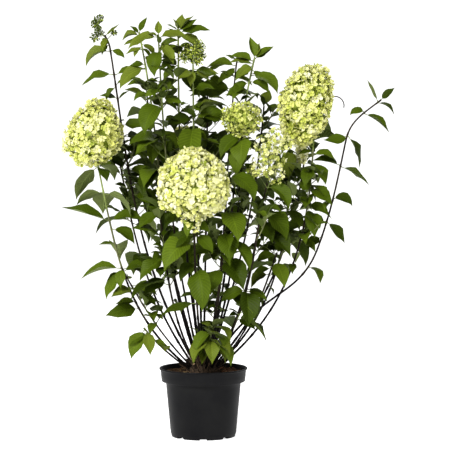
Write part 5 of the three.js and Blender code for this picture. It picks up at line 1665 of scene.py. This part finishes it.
# %% [markdown]
# ## Pot
#
# The pot is one moulded wall turned round an axis: a rounded lip, a deep collar
# that steps in to the body, a gentle taper and a foot with drain notches. We turn
# the profile ourselves, ring by ring, and lift the foot's points where a notch is.

# %% Turning the pot
POT_MESH = {"sides": 192, "body_steps": 10, "edge": 0.8, "notch_power": 6}


def pot_profile():
    """Radius and height pairs: middle of the underside, round the wall, middle of the floor."""
    wall, height, base, edge = POT["wall"], POT["height"], POT["base"], POT_MESH["edge"]
    foot, corner, body = POT["body_foot"], POT["corner"], POT["body_top"]
    lip, collar_top, collar_low = POT["lip"], POT["collar_top"], POT["collar_foot"]
    collar = height - POT["collar_depth"]
    underside = [(0, 2.0), (40, 2.0), (base - 12, 2.0), (base - 10, 0), (base - 3, 0)]
    outside = [(base, edge), (base + 1.2, 4), (base + 1.9, 8), (foot, corner)]
    for i in range(1, POT_MESH["body_steps"]):
        share = i / POT_MESH["body_steps"]
        outside.append((blend(foot, body, share), blend(corner, collar - 1.5, share)))
    outside += [(body, collar - edge), (body + edge, collar), (collar_low - edge, collar),
                (collar_low, collar + edge), (blend(collar_low, collar_top, 0.5), collar + 15),
                (collar_top - 0.4, height - 6.5), (collar_top + 0.4, height - 4.6),
                (lip - 0.9, height - POT["lip_depth"]), (lip, height - POT["lip_depth"] + 0.9),
                (lip, height - 0.9), (lip - 0.9, height)]
    inside = [(collar_top - wall + 0.6, height), (collar_top - wall, height - 0.6),
              (collar_low - wall, collar + wall), (body - wall, collar + wall), (foot - wall, corner),
              (base - wall, POT["floor"] + 1), (0, POT["floor"] + 1)]
    return underside + outside + inside


def notch_lift(angle, radius, height):
    """How far a drain notch lifts a point of the foot."""
    if radius < POT["base"] - 11 or radius > POT["body_foot"] or height > POT["notch_height"]:
        return 0.0
    step = TURN / POT["notches"]
    off = (angle + math.pi / 2 + step / 2) % step - step / 2
    depth = 1 - (abs(off) * POT["base"] / (POT["notch_width"] / 2)) ** POT_MESH["notch_power"]
    return max(0.0, depth) * (POT["notch_height"] - height)


def ring_faces(rings, sides, upward):
    """Faces over rings of points, with a fan to the first point and one to the last."""
    faces, last = [], 1 + (rings - 1) * sides
    for k in range(sides):
        after = (k + 1) % sides
        left, right = (after, k) if upward else (k, after)
        faces.append((0, 1 + left, 1 + right))
        for ring in range(rings - 1):
            a, b = 1 + ring * sides + k, 1 + ring * sides + after
            faces.append((a, b, b + sides, a + sides) if upward else (a, a + sides, b + sides, b))
        faces.append((last + sides, last + right, last + left))
    return faces


def turn_pot():
    profile, sides = pot_profile(), POT_MESH["sides"]
    points = [(0, 0, profile[0][1])]
    for radius, height in profile[1:-1]:
        for k in range(sides):
            angle = TURN * k / sides
            lifted = height + notch_lift(angle, radius, height)
            points.append((radius * math.cos(angle), radius * math.sin(angle), lifted))
    points.append((0, 0, profile[-1][1]))
    heap = Heap()
    heap.add(points, ring_faces(len(profile) - 2, sides, True))
    return heap.mesh("nursery_pot", ("black_plastic",))


pot_piece = turn_pot()
print("pot triangles:", triangles_of(pot_piece))

# %% [markdown]
# ## Compost
#
# The top of the compost is coarse: dark peat with red-brown bark on one side and
# paler fibres on the other. The ground is a fine grid with bumps, closed down into
# the pot, and Geometry Nodes scatter the chips on it.

# %% The compost's body
COMPOST = {"seed": 404, "rings": 44, "sides": 120, "radius": 108.2, "rough": 1.6, "waves": 14,
           "rates": (0.05, 0.5), "phases": 6.3, "below": 1.5, "draft": 2, "foot": 4}


def compost_height(x, y, waves):
    lump = sum(math.sin((x * ax + y * ay) * rate + phase) for ax, ay, rate, phase in waves)
    return SOIL["top"] - COMPOST["below"] + COMPOST["rough"] * 0.45 * lump


def make_compost():
    draw, waves = seeded(COMPOST["seed"]), []
    for _ in range(COMPOST["waves"]):
        angle = between(draw, 0, TURN)
        waves.append((math.cos(angle), math.sin(angle), between(draw, *COMPOST["rates"]),
                      between(draw, 0, COMPOST["phases"])))
    points = [(0, 0, compost_height(0, 0, waves))]
    rings, sides = COMPOST["rings"], COMPOST["sides"]

    def place(ring, k, radius):
        angle = TURN * (k + 0.5 * (ring % 2)) / sides
        return radius * math.cos(angle), radius * math.sin(angle)

    for ring in range(1, rings + 1):
        for k in range(sides):
            x, y = place(ring, k, COMPOST["radius"] * ring / rings)
            points.append((x, y, compost_height(x, y, waves) + spread(draw, COMPOST["rough"] * 0.5)))
    foot = POT["height"] - POT["collar_depth"] + COMPOST["foot"]
    points += [(*place(rings, k, COMPOST["radius"] - COMPOST["draft"]), foot) for k in range(sides)]
    points.append((0, 0, foot))
    heap = Heap()
    heap.add(points, ring_faces(rings + 1, sides, False))
    return heap.mesh("compost_bed", ("compost",))


compost_piece = make_compost()
print("compost triangles:", triangles_of(compost_piece))

# %% The tree that scatters chips
CHIPS = [
    {"name": "bark_chips", "look": "bark_chip", "density": 26000, "scale": (0.5, 1.5), "seed": 3, "side": 1},
    {"name": "pale_chips", "look": "bark_chip_pale", "density": 15000, "scale": (0.4, 1.2), "seed": 8, "side": -1},
]
CHIP = {"seed": 55, "corners": 7, "long": 3.6, "wide": 2.0, "chipped": (0.75, 1.1), "top": 0.7, "tilt": 0.7,
        "fade": (-0.10, 0.07)}


def chip_mesh():
    """A flat broken flake of bark, about 7 mm long."""
    heap, draw, corners = Heap(), seeded(CHIP["seed"]), CHIP["corners"]
    rim = []
    for k in range(corners):
        angle = TURN * k / corners
        rim.append((CHIP["long"] * math.cos(angle) * between(draw, *CHIP["chipped"]),
                    CHIP["wide"] * math.sin(angle) * between(draw, *CHIP["chipped"])))
    points = [(x, y, CHIP["top"] + spread(draw, 0.3)) for x, y in rim] + [(x * 0.9, y * 0.9, -0.5) for x, y in rim]
    points += [(0, 0, 1.2), (0, 0, -0.8)]
    faces, top, foot = [], 2 * corners, 2 * corners + 1
    for k in range(corners):
        after = (k + 1) % corners
        faces += [(top, k, after), (foot, corners + after, corners + k), (k, corners + k, corners + after, after)]
    heap.add(points, faces)
    return heap.shape("chip", "bark_chip", False)


def chip_tree(plan, chip):
    """Chips lie on upward faces, dense on one side of the pot and fading to the other."""
    tree, start, end = new_tree(f"scatter_{plan['name']}", "Ground", "Density")
    near, far = (edge * plan["side"] for edge in CHIP["fade"])
    scatter = add_node(tree, "GeometryNodeDistributePointsOnFaces", None, {"Seed": plan["seed"]})
    place, normal = add_node(tree, "GeometryNodeInputPosition"), add_node(tree, "GeometryNodeInputNormal")
    parts, slopes = add_node(tree, "ShaderNodeSeparateXYZ"), add_node(tree, "ShaderNodeSeparateXYZ")
    side = add_node(tree, "ShaderNodeMapRange", None, {"From Min": near, "From Max": far})
    upward = add_node(tree, "FunctionNodeCompare", {"operation": "GREATER_THAN"}, {"B": 0.5})
    dense = add_node(tree, "ShaderNodeMath", {"operation": "MULTIPLY"})
    spin = add_node(tree, "FunctionNodeRandomValue", {"data_type": "FLOAT_VECTOR"}, {
        "Seed": plan["seed"], "Min": (-CHIP["tilt"], -CHIP["tilt"], 0.0), "Max": (CHIP["tilt"], CHIP["tilt"], 6.28)})
    size = add_node(tree, "FunctionNodeRandomValue", {"data_type": "FLOAT"}, {"Seed": plan["seed"] + 1})
    for key, value in zip(("Min", "Max"), plan["scale"]):
        next(s for s in size.inputs if s.name == key and s.type == "VALUE").default_value = value
    setter = set_shape(tree, end, chip, plan["look"])
    tree.links.new(next(s for s in size.outputs if s.type == "VALUE"), setter.inputs["Scale"])
    wire(tree, (place, "Position", parts, "Vector"), (parts, "X", side, "Value"),
         (normal, "Normal", slopes, "Vector"), (slopes, "Z", upward, "A"), (side, "Result", dense, 0),
         (start, "Density", dense, 1), (start, "Ground", scatter, "Mesh"), (upward, "Result", scatter, "Selection"),
         (dense, "Value", scatter, "Density"), (scatter, "Points", setter, "Points"),
         (spin, "Value", setter, "Rotation"))
    return tree


chip = chip_mesh()
chip_pieces = [run_tree(plan["name"], compost_piece.data.copy(), chip_tree(plan, chip), {"Density": plan["density"]})
               for plan in CHIPS]
print("chip triangles:", {piece.name: triangles_of(piece) for piece in chip_pieces})

# %% [markdown]
# ## Floor
#
# A plain pale floor carries the pot. It is staging and no part of the plant. It glows
# a little, and ends where the lamps no longer reach, so it melts into the white world.

# %% Floor
FLOOR = {"radius": 3.3, "sides": 96, "color": (0.9, 0.9, 0.9), "roughness": 0.9, "glow": 0.60}


def add_floor():
    angles = TURN * np.arange(FLOOR["sides"]) / FLOOR["sides"]
    rim = [(FLOOR["radius"] * math.cos(a), FLOOR["radius"] * math.sin(a), 0.0) for a in angles]
    data = bpy.data.meshes.new("pale_floor")
    data.from_pydata(rim, [], [tuple(range(len(rim)))])
    glow = {"Emission Color": (1, 1, 1, 1), "Emission Strength": FLOOR["glow"]}
    data.materials.append(new_material("pale_floor", FLOOR["color"], FLOOR["roughness"], glow)[0])
    floor = add_object("pale_floor", data)
    return floor


print("stage:", add_floor().name)

# %% [markdown]
# ## Back to the frame
#
# The finished pieces stand for the solids: those are hidden but stay for collision.
# The shrub has no joint, so every piece rides on the one body.

# %% Riding and replacing
foliage_nodes = [f"foliage_{cane['name']}" for cane in canes]
stands_for = {
    pot_piece: ("pot", ["pot"]),
    compost_piece: ("soil", ["soil"]),
    stool_piece: ("stool", ["stool"]),
    canes_piece: ("cane", [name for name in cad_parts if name.startswith("cane_")]),
    leaf_pieces[0]: ("foliage", [foliage_nodes[owner] for owner in FRONT_OWNERS]),
    leaf_pieces[1]: ("foliage", [foliage_nodes[owner] for owner in BACK_OWNERS]),
}
stands_for.update({piece: ("foliage", []) for piece in (twigs_piece, stalks_piece, cores_piece, *flower_pieces)})
stands_for.update({piece: ("soil", []) for piece in chip_pieces})
for piece, (slot, stood_for) in stands_for.items():
    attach(piece, "root")
    if stood_for:
        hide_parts(*stood_for)
print("pieces:", len(stands_for), "triangles:", sum(triangles_of(piece) for piece in stands_for))
